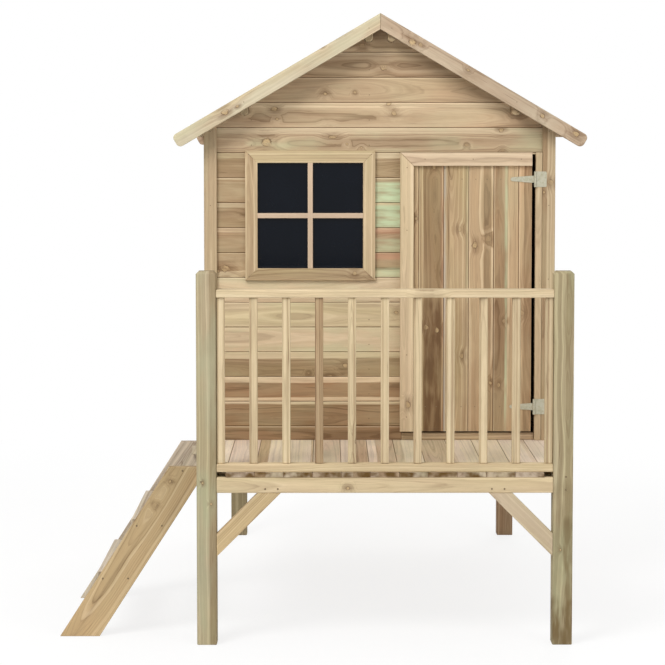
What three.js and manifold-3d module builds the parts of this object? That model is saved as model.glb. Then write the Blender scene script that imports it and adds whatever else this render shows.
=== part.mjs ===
// A wooden playhouse on four posts: a veranda with a balustrade and a ladder,
// and a boarded cabin with a gabled roof, a window and a door on T-hinges.
// Millimetres, +Z up. The front looks along -Y and the ladder is on the -X side.

import * as THREE from 'three';
import { mergeVertices } from 'three/addons/utils/BufferGeometryUtils.js';
import Module from 'manifold-3d';

const wasm = await Module();
wasm.setup();

// Fit and edges, shared by all pieces
const seat = 0.3; // gap between two pieces that are screwed together
const overrun = 40; // how far a cutting shape runs past what it cuts
const lap = 2; // how deep a batten is let into the boards it stiffens
const edge_round = 4; // rounded long edges of planed timber
const end_ease = 2; // small chamfer round a sawn end
const strip_ease = 1.5; // softened edge of a thin strip
const corner_steps = 3; // facets in a rounded timber edge
const round_steps = 20; // facets round a hinge barrel

// Platform: posts, beams, joists, braces and deck
const platform_half = 643; // half the width over the posts
const platform_depth = 2089; // front face of the front posts to back of the rear posts
const deck_top = 597; // deck surface above the ground
const deck_thickness = 17;
const deck_boards = 13;
const post_size = 68;
const post_chamfer = 9; // sloped edge round the front posts' tops
const beam_height = 54;
const beam_thickness = 28;
const brace_width = 56;
const brace_reach = 219; // a brace's height and width, along its post and its beam

// Balustrade
const rail_height = 625; // upper rail's top above the deck
const post_above_rail = 62;
const upper_rail_thickness = 28;
const upper_rail_depth = 60;
const lower_rail_thickness = 28;
const lower_rail_depth = 45;
const rail_setback = 2; // rails behind the posts' front faces
const baluster_size = 28;
const baluster_count = 11;

// Cabin walls: boards with V joints on an inner frame of battens
const veranda_depth = 780; // front face of the posts to the cabin's front boards
const cladding = 17; // thickness of the wall boards
const board_pitch = 93.6; // cover width of a wall, door or roof board
const bottom_board = 53; // the lowest wall board, sawn down
const joint_width = 5; // V joint across the face
const joint_depth = 2.5;
const batten = 28; // square battens of the wall frames
const trim_thickness = 14;
const trim_width = 48; // each leg of a corner trim

// Roof
const ridge_height = 2194;
const roof_pitch = THREE.MathUtils.degToRad(30.4);
const side_overhang = 128; // tips of the barge boards' top edges past the side walls
const roof_thickness = 18;
const eaves_setback = 20; // roof boards end this far inside the barge boards' tips
const front_overhang = 100; // barge boards' front face before the cabin's boards
const rear_overhang = 50;
const barge_width = 51;
const barge_thickness = 18;
const barge_round = 17; // rounded tips of the barge boards
const purlin_thickness = 28;
const purlin_height = 66; // on the face nearer to the ridge
const ridge_purlin_offset = 28; // centre to a ridge purlin's near face
const purlin_round = 12; // rounded lower edges
const purlin_from_wall = 80; // eaves purlins inside the side walls
const purlin_clearance = 1; // round a purlin where it passes through a gable

// Window
const window_to_centre = 16; // frame's edge to the middle of the wall
const window_to_trim = 106.3; // frame's other edge to the corner trim
const window_above_door = 7; // frame's top above the door's
const frame_strip = 46;
const frame_cover = 38; // how far the frame laps onto the boards
const mitre_width = 1.8;
const mitre_depth = 1.2;
const muntin_width = 19;
const muntin_thickness = 13;
const pane_thickness = 3;

// Door
const door_to_centre = 77; // door's free edge to the middle of the wall
const door_rise = 35; // door's lower edge above the deck
const door_head = 114.9; // door's top below the roof boards at the side wall
const door_clearance = 1.5; // door's back before the wall boards
const door_lap = 7; // door past the doorway on its free side and on top
const first_door_board = 49; // the board at the hinges, sawn down
const jamb_width = 25.5;
const hinge_gap = 13.5; // door's edge to the jamb strip
const threshold_height = 28;
const cover_strip_width = 50;
const cover_strip_thickness = 15;
const ledge_width = 70;
const ledge_thickness = 20;
const ledge_inset = 22; // ledges inside the door's edges
const ledge_from_end = 52; // ledge's far edge from the door's top or foot
const door_brace_width = 60;

// T-hinges
const hinge_from_top = 100; // centre of the upper hinge below the door's top
const hinge_from_foot = 93.5;
const hinge_plate_height = 58;
const hinge_plate_width = 41;
const hinge_sheet = 2;
const barrel_radius = 4.5;
const pin_radius = 2.4;
const hinge_play = 0.3;
const strap_length = 92;
const strap_root = 27;
const strap_tip = 15;
const plate_corner = 3;

// Ladder on the left side of the veranda
const ladder_angle = THREE.MathUtils.degToRad(57.3);
const ladder_front = 130; // outer face of its front stringer
const ladder_to_cabin = 4; // outer face of its rear stringer before the cabin
const ladder_drop = 1; // its top below the deck
const ladder_top_cut = 103; // level top of a stringer
const stringer_width = 116;
const stringer_thickness = 28;
const tread_rise = 185.5;
const tread_depth = 130;
const tread_thickness = 28;
const tread_nosing = 15; // treads past the stringers' upper edge
const cleat_width = 60; // block that fixes a stringer to the platform
const cleat_height = 32;
const cleat_thickness = 28;
const cleat_drop = 12; // below the stringer's top

// Places worked out from the sizes above
const post_inner = platform_half - post_size;
const upper_rail_top = deck_top + rail_height;
const post_height = upper_rail_top + post_above_rail;
const beam_top = deck_top - deck_thickness - seat;
const beam_bottom = beam_top - beam_height;
const brace_foot = beam_bottom - seat - brace_reach;
const wall_foot = deck_top + seat;
const wall_depth = cladding + batten;
const face_back = veranda_depth - seat; // back of what is fixed on the front boards
const face_front = face_back - trim_thickness;
const slope = Math.tan(roof_pitch);
const roof_reach = platform_half + side_overhang;
const eaves_purlin_offset = platform_half - wall_depth - purlin_from_wall - purlin_thickness;
const underside_apex = ridge_height - roof_thickness / Math.cos(roof_pitch);
const front_barge_back = veranda_depth - front_overhang + barge_thickness;
const rear_barge_front = platform_depth + rear_overhang - barge_thickness;
const roof_front = front_barge_back + seat;
const roof_length = rear_barge_front - seat - roof_front;
const trim_edge = platform_half + seat + trim_thickness - trim_width;
const jamb_right = trim_edge - seat;
const jamb_left = jamb_right - jamb_width;
const door_right = jamb_left - hinge_gap;
const door_left = door_to_centre;
const door_width = door_right - door_left;
const door_foot = deck_top + door_rise;
const door_top = underside(platform_half) - door_head;
const door_height = door_top - door_foot;
const door_back = veranda_depth - door_clearance;
const doorway_left = door_left + door_lap;
const doorway_top = door_top - door_lap;
const window_size = trim_edge - window_to_trim - window_to_centre;
const window_x = -window_to_centre - window_size / 2;
const window_z = door_top + window_above_door - window_size / 2;
const window_hole = window_size - 2 * frame_cover;
const hinge_x = jamb_left - barrel_radius / 2;
const hinge_y = face_front - seat - barrel_radius;

// Height of the roof boards' underside at a distance from the ridge line
function underside(x) {
  return underside_apex - slope * Math.abs(x);
}

// Timber colours
function wood(color, roughness = 0.8) {
  return new THREE.MeshStandardMaterial({ color, roughness, metalness: 0 });
}
const post_wood = wood(0xb5a988);
const beam_wood = wood(0xcdb78d);
const deck_wood = wood(0xc9b494);
const rail_wood = wood(0xd9c39c);
const wall_wood = wood(0xb59c76);
const trim_wood = wood(0xc9b48c);
const door_wood = wood(0xa58a62);
const roof_wood = wood(0xc4b28c);
const ladder_wood = wood(0xb9a275);
const pane_plastic = new THREE.MeshStandardMaterial({ color: 0x1c2026, roughness: 0.2, metalness: 0 });
const zinc = new THREE.MeshStandardMaterial({ color: 0xa9a892, roughness: 0.45, metalness: 0.8 });

const AXIS_X = new THREE.Vector3(1, 0, 0);
const AXIS_Y = new THREE.Vector3(0, 1, 0);
const AXIS_Z = new THREE.Vector3(0, 0, 1);

// Turns a geometry so that its own x, y and z run along the given directions
function turned(geometry, x, y, z) {
  return geometry.applyMatrix4(new THREE.Matrix4().makeBasis(x, y, z));
}

const house = new THREE.Group();

function add(name, geometry, material, x = 0, y = 0, z = 0) {
  geometry.computeVertexNormals();
  const mesh = new THREE.Mesh(geometry, material);
  mesh.name = name;
  mesh.position.set(x, y, z);
  house.add(mesh);
  return mesh;
}

// Joining and cutting of closed shapes
function toSolid(geometry) {
  const bare = geometry.clone();
  bare.deleteAttribute('normal');
  bare.deleteAttribute('uv');
  const merged = mergeVertices(bare);
  const vertProperties = merged.attributes.position.array;
  const triVerts = new Uint32Array(merged.index.array);
  return new wasm.Manifold(new wasm.Mesh({ numProp: 3, vertProperties, triVerts }));
}

function toGeometry(solid) {
  const mesh = solid.getMesh();
  const geometry = new THREE.BufferGeometry();
  geometry.setAttribute('position', new THREE.BufferAttribute(mesh.vertProperties.slice(), 3));
  geometry.setIndex(new THREE.BufferAttribute(mesh.triVerts.slice(), 1));
  return geometry;
}

// A box given by its lowest and highest corner
function block(x0, x1, y0, y1, z0, z1) {
  const geometry = new THREE.BoxGeometry(x1 - x0, y1 - y0, z1 - z0);
  return geometry.translate((x0 + x1) / 2, (y0 + y1) / 2, (z0 + z1) / 2);
}

// A ring of points round a rectangle with rounded corners, at height z
function ring(width, depth, radius, z) {
  const points = [];
  const corners = [[1, 1, 0], [-1, 1, 1], [-1, -1, 2], [1, -1, 3]];
  for (const [sideX, sideY, quarter] of corners) {
    for (let step = 0; step <= corner_steps; step++) {
      const angle = (quarter + step / corner_steps) * (Math.PI / 2);
      const x = sideX * (width / 2 - radius) + radius * Math.cos(angle);
      const y = sideY * (depth / 2 - radius) + radius * Math.sin(angle);
      points.push(new THREE.Vector3(x, y, z));
    }
  }
  return points;
}

// A closed skin through rings of equal length, with flat ends
function loft(rings) {
  const count = rings[0].length;
  const positions = rings.flat().flatMap((point) => [point.x, point.y, point.z]);
  const index = [];
  for (let level = 0; level + 1 < rings.length; level++) {
    for (let i = 0; i < count; i++) {
      const a = level * count + i;
      const b = level * count + (i + 1) % count;
      index.push(a, b, b + count, a, b + count, a + count);
    }
  }
  const top = (rings.length - 1) * count;
  for (let i = 1; i + 1 < count; i++) {
    index.push(0, i + 1, i);
    index.push(top, top + i, top + i + 1);
  }
  const geometry = new THREE.BufferGeometry();
  geometry.setAttribute('position', new THREE.Float32BufferAttribute(positions, 3));
  geometry.setIndex(index);
  return geometry;
}

// A planed timber along +Z from z = 0, with rounded edges and eased ends
function timber(width, depth, length, top_ease = end_ease) {
  const radius = edge_round;
  const endRadius = radius / 2;
  const rings = [
    ring(width - 2 * end_ease, depth - 2 * end_ease, endRadius, 0),
    ring(width, depth, radius, end_ease),
    ring(width, depth, radius, length - top_ease),
    ring(width - 2 * top_ease, depth - 2 * top_ease, endRadius, length),
  ];
  return loft(rings);
}

// The same timber between two corners of its box, running along one axis
function timberBetween(axis, x0, x1, y0, y1, z0, z1) {
  const [sizeX, sizeY, sizeZ] = [x1 - x0, y1 - y0, z1 - z0];
  let geometry;
  if (axis === 'x') {
    geometry = turned(timber(sizeY, sizeZ, sizeX), AXIS_Y, AXIS_Z, AXIS_X);
    geometry.translate(-sizeX / 2, 0, 0);
  } else if (axis === 'y') {
    geometry = turned(timber(sizeZ, sizeX, sizeY), AXIS_Z, AXIS_X, AXIS_Y);
    geometry.translate(0, -sizeY / 2, 0);
  } else {
    geometry = timber(sizeX, sizeY, sizeZ);
    geometry.translate(0, 0, -sizeZ / 2);
  }
  return geometry.translate((x0 + x1) / 2, (y0 + y1) / 2, (z0 + z1) / 2);
}

// A flat board cut to an outline in X and Z, between two depths, with softened edges
function cutBoard(points, front, back, ease = strip_ease) {
  const shape = new THREE.Shape(points.map(([x, z]) => new THREE.Vector2(x, z)));
  return extrudeFlat(shape, front, back, ease);
}

function extrudeFlat(shape, front, back, ease) {
  const geometry = new THREE.ExtrudeGeometry(shape, {
    depth: back - front - 2 * ease,
    curveSegments: 6,
    bevelEnabled: true,
    bevelThickness: ease,
    bevelSize: ease,
    bevelOffset: -ease,
    bevelSegments: 1,
  });
  turned(geometry, AXIS_X, AXIS_Z, AXIS_Y.clone().negate());
  return geometry.translate(0, back - ease, 0);
}

// Places of the joints across a boarded width
function jointsAcross(span, first, pitch) {
  const joints = [];
  for (let place = first; place < span - joint_width; place += pitch) {
    joints.push(place);
  }
  return joints;
}

// Section through boards laid side by side: x is the depth, y runs across them
function boardedSection(span, thickness, joints, bothFaces = false) {
  const shape = new THREE.Shape();
  shape.moveTo(0, 0);
  for (const joint of joints) {
    shape.lineTo(0, joint - joint_width / 2);
    shape.lineTo(joint_depth, joint);
    shape.lineTo(0, joint + joint_width / 2);
  }
  shape.lineTo(0, span);
  shape.lineTo(thickness, span);
  if (bothFaces) {
    for (const joint of [...joints].reverse()) {
      shape.lineTo(thickness, joint + joint_width / 2);
      shape.lineTo(thickness - joint_depth, joint);
      shape.lineTo(thickness, joint - joint_width / 2);
    }
  }
  shape.lineTo(thickness, 0);
  return shape;
}

function boards(span, thickness, joints, length, bothFaces = false) {
  const section = boardedSection(span, thickness, joints, bothFaces);
  return new THREE.ExtrudeGeometry(section, { depth: length, bevelEnabled: false });
}

// The space under the roof boards, as a cutting shape
function underRoof() {
  const reach = roof_reach;
  const apex = underside_apex - seat;
  const eaves = apex - slope * reach;
  const shape = new THREE.Shape([
    new THREE.Vector2(-reach, 0),
    new THREE.Vector2(reach, 0),
    new THREE.Vector2(reach, eaves),
    new THREE.Vector2(0, apex),
    new THREE.Vector2(-reach, eaves),
  ]);
  const depth = platform_depth + 2 * overrun;
  const geometry = new THREE.ExtrudeGeometry(shape, { depth, bevelEnabled: false });
  turned(geometry, AXIS_X, AXIS_Z, AXIS_Y.clone().negate());
  return toSolid(geometry.translate(0, depth - overrun, 0));
}
const under_roof = underRoof();

// Posts
function addPosts() {
  const rear_outer = platform_half - beam_thickness - seat;
  for (const [side, name] of [[-1, 'left'], [1, 'right']]) {
    const front = timber(post_size, post_size, post_height, post_chamfer);
    add(`front_post_${name}`, front, post_wood, side * (platform_half - post_size / 2), post_size / 2, 0);
    const rear = timber(post_size, post_size, beam_top);
    const y = platform_depth - post_size / 2;
    add(`rear_post_${name}`, rear, post_wood, side * (rear_outer - post_size / 2), y, 0);
  }
}

// Beams and joists under the deck
function addBeams() {
  const back = platform_depth;
  const between = post_inner - seat;
  const rear_between = platform_half - beam_thickness - 2 * seat - post_size;
  const side_inner = platform_half - beam_thickness;
  const joist_half = side_inner - seat;
  const beam = (name, axis, x0, x1, y0, y1) => {
    add(name, timberBetween(axis, x0, x1, y0, y1, beam_bottom, beam_top), beam_wood);
  };
  beam('front_beam', 'x', -between, between, 0, beam_thickness);
  beam('rear_beam', 'x', -rear_between, rear_between, back - beam_thickness, back);
  beam('left_beam', 'y', -platform_half, -side_inner, post_size + seat, back);
  beam('right_beam', 'y', side_inner, platform_half, post_size + seat, back);
  const behind_posts = post_size + seat + beam_thickness / 2;
  const under_wall = veranda_depth + wall_depth / 2;
  const joists = [
    ['floor_joist_veranda', behind_posts],
    ['floor_joist_front', under_wall],
    ['floor_joist_rear', (under_wall + back) / 2],
  ];
  for (const [name, y] of joists) {
    beam(name, 'x', -joist_half, joist_half, y - beam_thickness / 2, y + beam_thickness / 2);
  }
}

// Braces at 45 degrees between the front posts and the front beam
function addBraces() {
  const foot_x = post_inner - seat;
  const head_z = beam_bottom - seat;
  const along = brace_width * Math.SQRT2;
  const run = head_z - brace_foot;
  for (const [side, name] of [[-1, 'left'], [1, 'right']]) {
    const outline = [
      [side * foot_x, brace_foot],
      [side * foot_x, brace_foot + along],
      [side * (foot_x - run + along), head_z],
      [side * (foot_x - run), head_z],
    ];
    add(`front_brace_${name}`, cutBoard(outline, 0, beam_thickness), beam_wood);
  }
}

// Deck boards from front to back; the outer ones stop behind the front posts
function addDeck() {
  const pitch = 2 * platform_half / deck_boards;
  const joints = jointsAcross(2 * platform_half, pitch, pitch);
  const geometry = boards(2 * platform_half, deck_thickness, joints, platform_depth);
  turned(geometry, AXIS_Z.clone().negate(), AXIS_X.clone().negate(), AXIS_Y);
  geometry.translate(platform_half, 0, deck_top);
  const outer_boards = Math.ceil(post_size / pitch);
  const front_half = platform_half - outer_boards * pitch;
  let deck = toSolid(geometry);
  for (const side of [-1, 1]) {
    const [near, far] = [side * front_half, side * (platform_half + overrun)];
    const low = deck_top - deck_thickness - overrun;
    const notch = block(Math.min(near, far), Math.max(near, far), -overrun, post_size + seat,
      low, deck_top + overrun);
    deck = deck.subtract(toSolid(notch));
  }
  add('deck', toGeometry(deck), deck_wood);
}

// Balustrade along the front
function addBalustrade() {
  const half = post_inner - seat;
  const front = rail_setback;
  const upper_bottom = upper_rail_top - upper_rail_thickness;
  const lower_bottom = deck_top + seat;
  const lower_top = lower_bottom + lower_rail_thickness;
  const upper = timberBetween('x', -half, half, front, front + upper_rail_depth, upper_bottom, upper_rail_top);
  add('upper_rail', upper, rail_wood);
  const lower = timberBetween('x', -half, half, front, front + lower_rail_depth, lower_bottom, lower_top);
  add('lower_rail', lower, rail_wood);
  const length = upper_bottom - lower_top - 2 * seat;
  const reach = half - seat - baluster_size / 2;
  for (let i = 0; i < baluster_count; i++) {
    const x = -reach + (2 * reach * i) / (baluster_count - 1);
    const name = `baluster_${String(i + 1).padStart(2, '0')}`;
    const baluster = timber(baluster_size, baluster_size, length);
    add(name, baluster, rail_wood, x, front + lower_rail_depth / 2, lower_top + seat);
  }
}

// Ladder: two wide stringers, cut level on top and plumb at the platform, and two treads
function addLadder() {
  const top = deck_top - ladder_drop;
  const wall = -platform_half - seat;
  const corner = wall - ladder_top_cut;
  const rise_per_run = Math.tan(ladder_angle);
  const upperEdge = (z) => corner - (top - z) / rise_per_run;
  const level_width = stringer_width / Math.sin(ladder_angle);
  const lowerEdgeFoot = upperEdge(0) + level_width;
  const plumb_foot = (wall - lowerEdgeFoot) * rise_per_run;
  const outline = [
    [corner, top], [wall, top], [wall, plumb_foot], [lowerEdgeFoot, 0], [upperEdge(0), 0],
  ];
  const rear_face = veranda_depth - ladder_to_cabin;
  const inner_front = ladder_front + stringer_thickness;
  const inner_rear = rear_face - stringer_thickness;
  const cleat_top = top - cleat_drop;
  const stringer = (name, front, cleat_y0, cleat_y1) => {
    const board = toSolid(cutBoard(outline, front, front + stringer_thickness, end_ease));
    const cleat = block(wall - cleat_width, wall, cleat_y0, cleat_y1, cleat_top - cleat_height, cleat_top);
    add(name, toGeometry(board.add(toSolid(cleat))), ladder_wood);
  };
  stringer('ladder_stringer_front', ladder_front, inner_front - lap, inner_front + cleat_thickness);
  stringer('ladder_stringer_rear', inner_rear, inner_rear - cleat_thickness, inner_rear + lap);
  const treads = [['ladder_tread_upper', 1], ['ladder_tread_lower', 2]];
  for (const [name, steps] of treads) {
    const z = top - steps * tread_rise;
    const nose = upperEdge(z) - tread_nosing;
    const tread = timberBetween('y', nose, nose + tread_depth, inner_front + seat, inner_rear - seat,
      z - tread_thickness, z);
    add(name, tread, ladder_wood);
  }
}

// A boarded wall facing -Y, centred on X, with its outer face at y = 0 and its foot at z = 0
function wallBoards(length, height) {
  const joints = jointsAcross(height, bottom_board, board_pitch);
  const geometry = boards(height, cladding, joints, length);
  turned(geometry, AXIS_Y, AXIS_Z, AXIS_X);
  return geometry.translate(-length / 2, 0, 0);
}

// Adds inner battens, each given as [x0, x1, z0, z1], to a boarded wall
function framedWall(length, height, battens) {
  let wall = toSolid(wallBoards(length, height));
  for (const [x0, x1, z0, z1] of battens) {
    wall = wall.add(toSolid(block(x0, x1, cladding - lap, wall_depth, z0, z1)));
  }
  return toGeometry(wall);
}

// Purlins, and the notches that let them through the gables
const purlins = [
  ['purlin_ridge_left', -1, ridge_purlin_offset],
  ['purlin_ridge_right', 1, ridge_purlin_offset],
  ['purlin_eaves_left', -1, eaves_purlin_offset],
  ['purlin_eaves_right', 1, eaves_purlin_offset],
];

function purlinOutline(side, near, grow) {
  const far = near + purlin_thickness;
  const foot = underside(near) - purlin_height;
  const radius = purlin_round + grow;
  const outline = [];
  for (const [x, quarter] of [[near + purlin_round, 2], [far - purlin_round, 3]]) {
    for (let step = 0; step <= corner_steps; step++) {
      const angle = (quarter + step / corner_steps) * (Math.PI / 2);
      const across = x + radius * Math.cos(angle);
      outline.push([side * across, foot + purlin_round + radius * Math.sin(angle)]);
    }
  }
  const top = (x) => (grow > 0 ? underside(x) + overrun : underside(x) - seat);
  outline.push([side * (far + grow), top(far + grow)]);
  outline.push([side * (near - grow), top(near - grow)]);
  return outline;
}

function addPurlins() {
  for (const [name, side, near] of purlins) {
    const outline = purlinOutline(side, near, 0);
    add(name, cutBoard(outline, roof_front, roof_front + roof_length), beam_wood);
  }
}

function cutForPurlins(wall, front, back) {
  let result = wall;
  for (const [, side, near] of purlins) {
    const outline = purlinOutline(side, near, purlin_clearance);
    result = result.subtract(toSolid(cutBoard(outline, front - overrun, back + overrun, 0)));
  }
  return result;
}

// Front wall with its doorway and window hole
function addFrontWall() {
  const half = platform_half;
  const height = ridge_height - wall_foot;
  const foot = wall_foot;
  const hole = window_hole / 2;
  const local_window = window_z - foot;
  const local_door_top = doorway_top - foot;
  const battens = [
    [-half, -half + batten, 0, height],
    [jamb_left, half, 0, height],
    [doorway_left - batten, doorway_left, 0, height],
    [-half, doorway_left, 0, batten],
    [doorway_left - batten, half, local_door_top, local_door_top + batten],
    [window_x - hole - batten, window_x - hole, 0, height],
    [window_x + hole, window_x + hole + batten, 0, height],
    [-half, doorway_left, local_window - hole - batten, local_window - hole],
    [-half, doorway_left, local_window + hole, local_window + hole + batten],
  ];
  const geometry = framedWall(2 * half, height, battens);
  geometry.translate(0, veranda_depth, foot);
  const front = veranda_depth - overrun;
  const back = veranda_depth + wall_depth + overrun;
  const doorway = block(doorway_left, jamb_left, front, back, foot - overrun, doorway_top);
  const opening = block(window_x - hole, window_x + hole, front, back, window_z - hole, window_z + hole);
  let wall = toSolid(geometry).intersect(under_roof);
  wall = wall.subtract(toSolid(doorway)).subtract(toSolid(opening));
  wall = cutForPurlins(wall, front, back);
  add('front_wall', toGeometry(wall), wall_wood);
}

// Rear wall, plain
function addRearWall() {
  const half = platform_half;
  const height = ridge_height - wall_foot;
  const battens = [
    [-half, -half + batten, 0, height],
    [half - batten, half, 0, height],
    [-batten / 2, batten / 2, 0, height],
    [-half, half, 0, batten],
  ];
  const geometry = framedWall(2 * half, height, battens);
  geometry.rotateZ(Math.PI);
  geometry.translate(0, platform_depth, wall_foot);
  let wall = toSolid(geometry).intersect(under_roof);
  wall = cutForPurlins(wall, platform_depth - wall_depth, platform_depth);
  add('rear_wall', toGeometry(wall), wall_wood);
}

// Side walls between the front and rear walls
function addSideWalls() {
  const front = veranda_depth + wall_depth + seat;
  const back = platform_depth - wall_depth - seat;
  const length = back - front;
  const height = underside(platform_half - wall_depth) - wall_foot;
  const half = length / 2;
  const top = underside(platform_half) - wall_foot;
  const battens = [
    [-half, -half + batten, 0, height],
    [half - batten, half, 0, height],
    [-batten / 2, batten / 2, 0, height],
    [-half, half, 0, batten],
    [-half, half, top - batten, height],
  ];
  for (const [side, name] of [[-1, 'left'], [1, 'right']]) {
    const geometry = framedWall(length, height, battens);
    geometry.rotateZ(side * Math.PI / 2);
    geometry.translate(side * platform_half, (front + back) / 2, wall_foot);
    const wall = toSolid(geometry).intersect(under_roof);
    add(`${name}_wall`, toGeometry(wall), wall_wood);
  }
}

// Angle trims that cover the corners of the cabin
function addCornerTrims() {
  const outer = platform_half + seat + trim_thickness;
  const inner = outer - trim_width;
  const leg = platform_half + seat;
  const height = underside(inner) - wall_foot;
  for (const [sideX, nameX] of [[-1, 'left'], [1, 'right']]) {
    for (const [end, nameY] of [[-1, 'front'], [1, 'rear']]) {
      const face = end < 0 ? veranda_depth : platform_depth;
      const place = (x, depth) => new THREE.Vector2(sideX * x, face + end * depth);
      const proud = seat + trim_thickness;
      const shape = new THREE.Shape([
        place(inner, seat),
        place(inner, proud - strip_ease),
        place(inner + strip_ease, proud),
        place(outer - strip_ease, proud),
        place(outer, proud - strip_ease),
        place(outer, proud - trim_width),
        place(leg, proud - trim_width),
        place(leg, seat),
      ]);
      const geometry = new THREE.ExtrudeGeometry(shape, { depth: height, bevelEnabled: false });
      geometry.translate(0, 0, wall_foot);
      const trim = toSolid(geometry).intersect(under_roof);
      add(`corner_trim_${nameY}_${nameX}`, toGeometry(trim), trim_wood);
    }
  }
}

// Window: mitred face frame with a cross of muntins, and one pane behind it
function addWindow() {
  const half = window_size / 2;
  const inner = half - frame_strip;
  const shape = new THREE.Shape([
    new THREE.Vector2(-half, -half), new THREE.Vector2(half, -half),
    new THREE.Vector2(half, half), new THREE.Vector2(-half, half),
  ]);
  const hole = new THREE.Path([
    new THREE.Vector2(-inner, -inner), new THREE.Vector2(-inner, inner),
    new THREE.Vector2(inner, inner), new THREE.Vector2(inner, -inner),
  ]);
  shape.holes.push(hole);
  let frame = toSolid(extrudeFlat(shape, 0, trim_thickness, strip_ease));
  const diagonal = (half + overrun) * Math.SQRT2;
  const vee = new THREE.Shape([
    new THREE.Vector2(-mitre_width, -mitre_depth), new THREE.Vector2(mitre_width, -mitre_depth),
    new THREE.Vector2(0, mitre_depth),
  ]);
  for (let quarter = 0; quarter < 4; quarter++) {
    const cutter = new THREE.ExtrudeGeometry(vee, { depth: diagonal, bevelEnabled: false });
    turned(cutter, AXIS_X, AXIS_Y, AXIS_Z);
    cutter.rotateY((quarter + 1 / 2) * (Math.PI / 2));
    frame = frame.subtract(toSolid(cutter));
  }

  const reach = inner + lap;
  const bar = muntin_width / 2;
  const cross = [
    [-reach, -bar], [-bar, -bar], [-bar, -reach], [bar, -reach], [bar, -bar], [reach, -bar],
    [reach, bar], [bar, bar], [bar, reach], [-bar, reach], [-bar, bar], [-reach, bar],
  ];
  const muntins = cutBoard(cross, trim_thickness - muntin_thickness, trim_thickness);
  frame = frame.add(toSolid(muntins));
  add('window_frame', toGeometry(frame), trim_wood, window_x, face_front, window_z);

  const pane_size = window_hole - 2 * seat;
  const pane = new THREE.BoxGeometry(pane_size, pane_thickness, pane_size);
  add('window_pane', pane, pane_plastic, window_x, face_back + seat + pane_thickness / 2, window_z);
}

// Jamb strip at the hinges and threshold under the door
function addDoorway() {
  const jamb = timberBetween('z', jamb_left, jamb_right, face_front, face_back, wall_foot, door_top);
  add('door_jamb_strip', jamb, trim_wood);
  const [x0, x1] = [doorway_left + seat, jamb_left - seat];
  const back = veranda_depth + wall_depth;
  const sill = timberBetween('x', x0, x1, veranda_depth, back, wall_foot, wall_foot + threshold_height);
  add('door_threshold', sill, trim_wood);
}

// Door leaf: upright boards on two ledges and a brace
function addDoorLeaf() {
  const joints = jointsAcross(door_width, first_door_board, board_pitch);
  const thickness = door_back - face_front;
  const panel = boards(door_width, thickness, joints, door_height);
  turned(panel, AXIS_Y, AXIS_X.clone().negate(), AXIS_Z);
  panel.translate(door_right, face_front, door_foot);
  const [left, right] = [door_left + ledge_inset, door_right - ledge_inset];
  const [front, back] = [door_back - lap, door_back + ledge_thickness];
  const low = door_foot + ledge_from_end;
  const high = door_top - ledge_from_end;
  const low_ledge = block(left, right, front, back, low, low + ledge_width);
  const high_ledge = block(left, right, front, back, high - ledge_width, high);
  const [from, to] = [low + ledge_width - lap, high - ledge_width + lap];
  const brace = cutBoard([
    [right - door_brace_width, from], [right, from], [left + door_brace_width, to], [left, to],
  ], front, back, 0);
  const leaf = toSolid(panel).add(toSolid(low_ledge)).add(toSolid(high_ledge)).add(toSolid(brace));
  add('door_leaf', toGeometry(leaf), door_wood);
}

// Cover strips on the leaf's free side and top, mitred together
function addCoverStrips() {
  const back = face_front - seat;
  const front = back - cover_strip_thickness;
  const mitre_gap = seat * Math.SQRT2;
  const inner_left = door_left + cover_strip_width;
  const inner_top = door_top - cover_strip_width;
  const top = cutBoard([
    [door_left, door_top], [inner_left, inner_top], [door_right, inner_top], [door_right, door_top],
  ], front, back);
  add('door_top_strip', top, trim_wood);
  const side = cutBoard([
    [door_left, door_foot], [inner_left, door_foot],
    [inner_left, inner_top - mitre_gap], [door_left, door_top - mitre_gap],
  ], front, back);
  add('door_side_strip', side, trim_wood);
}

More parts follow.
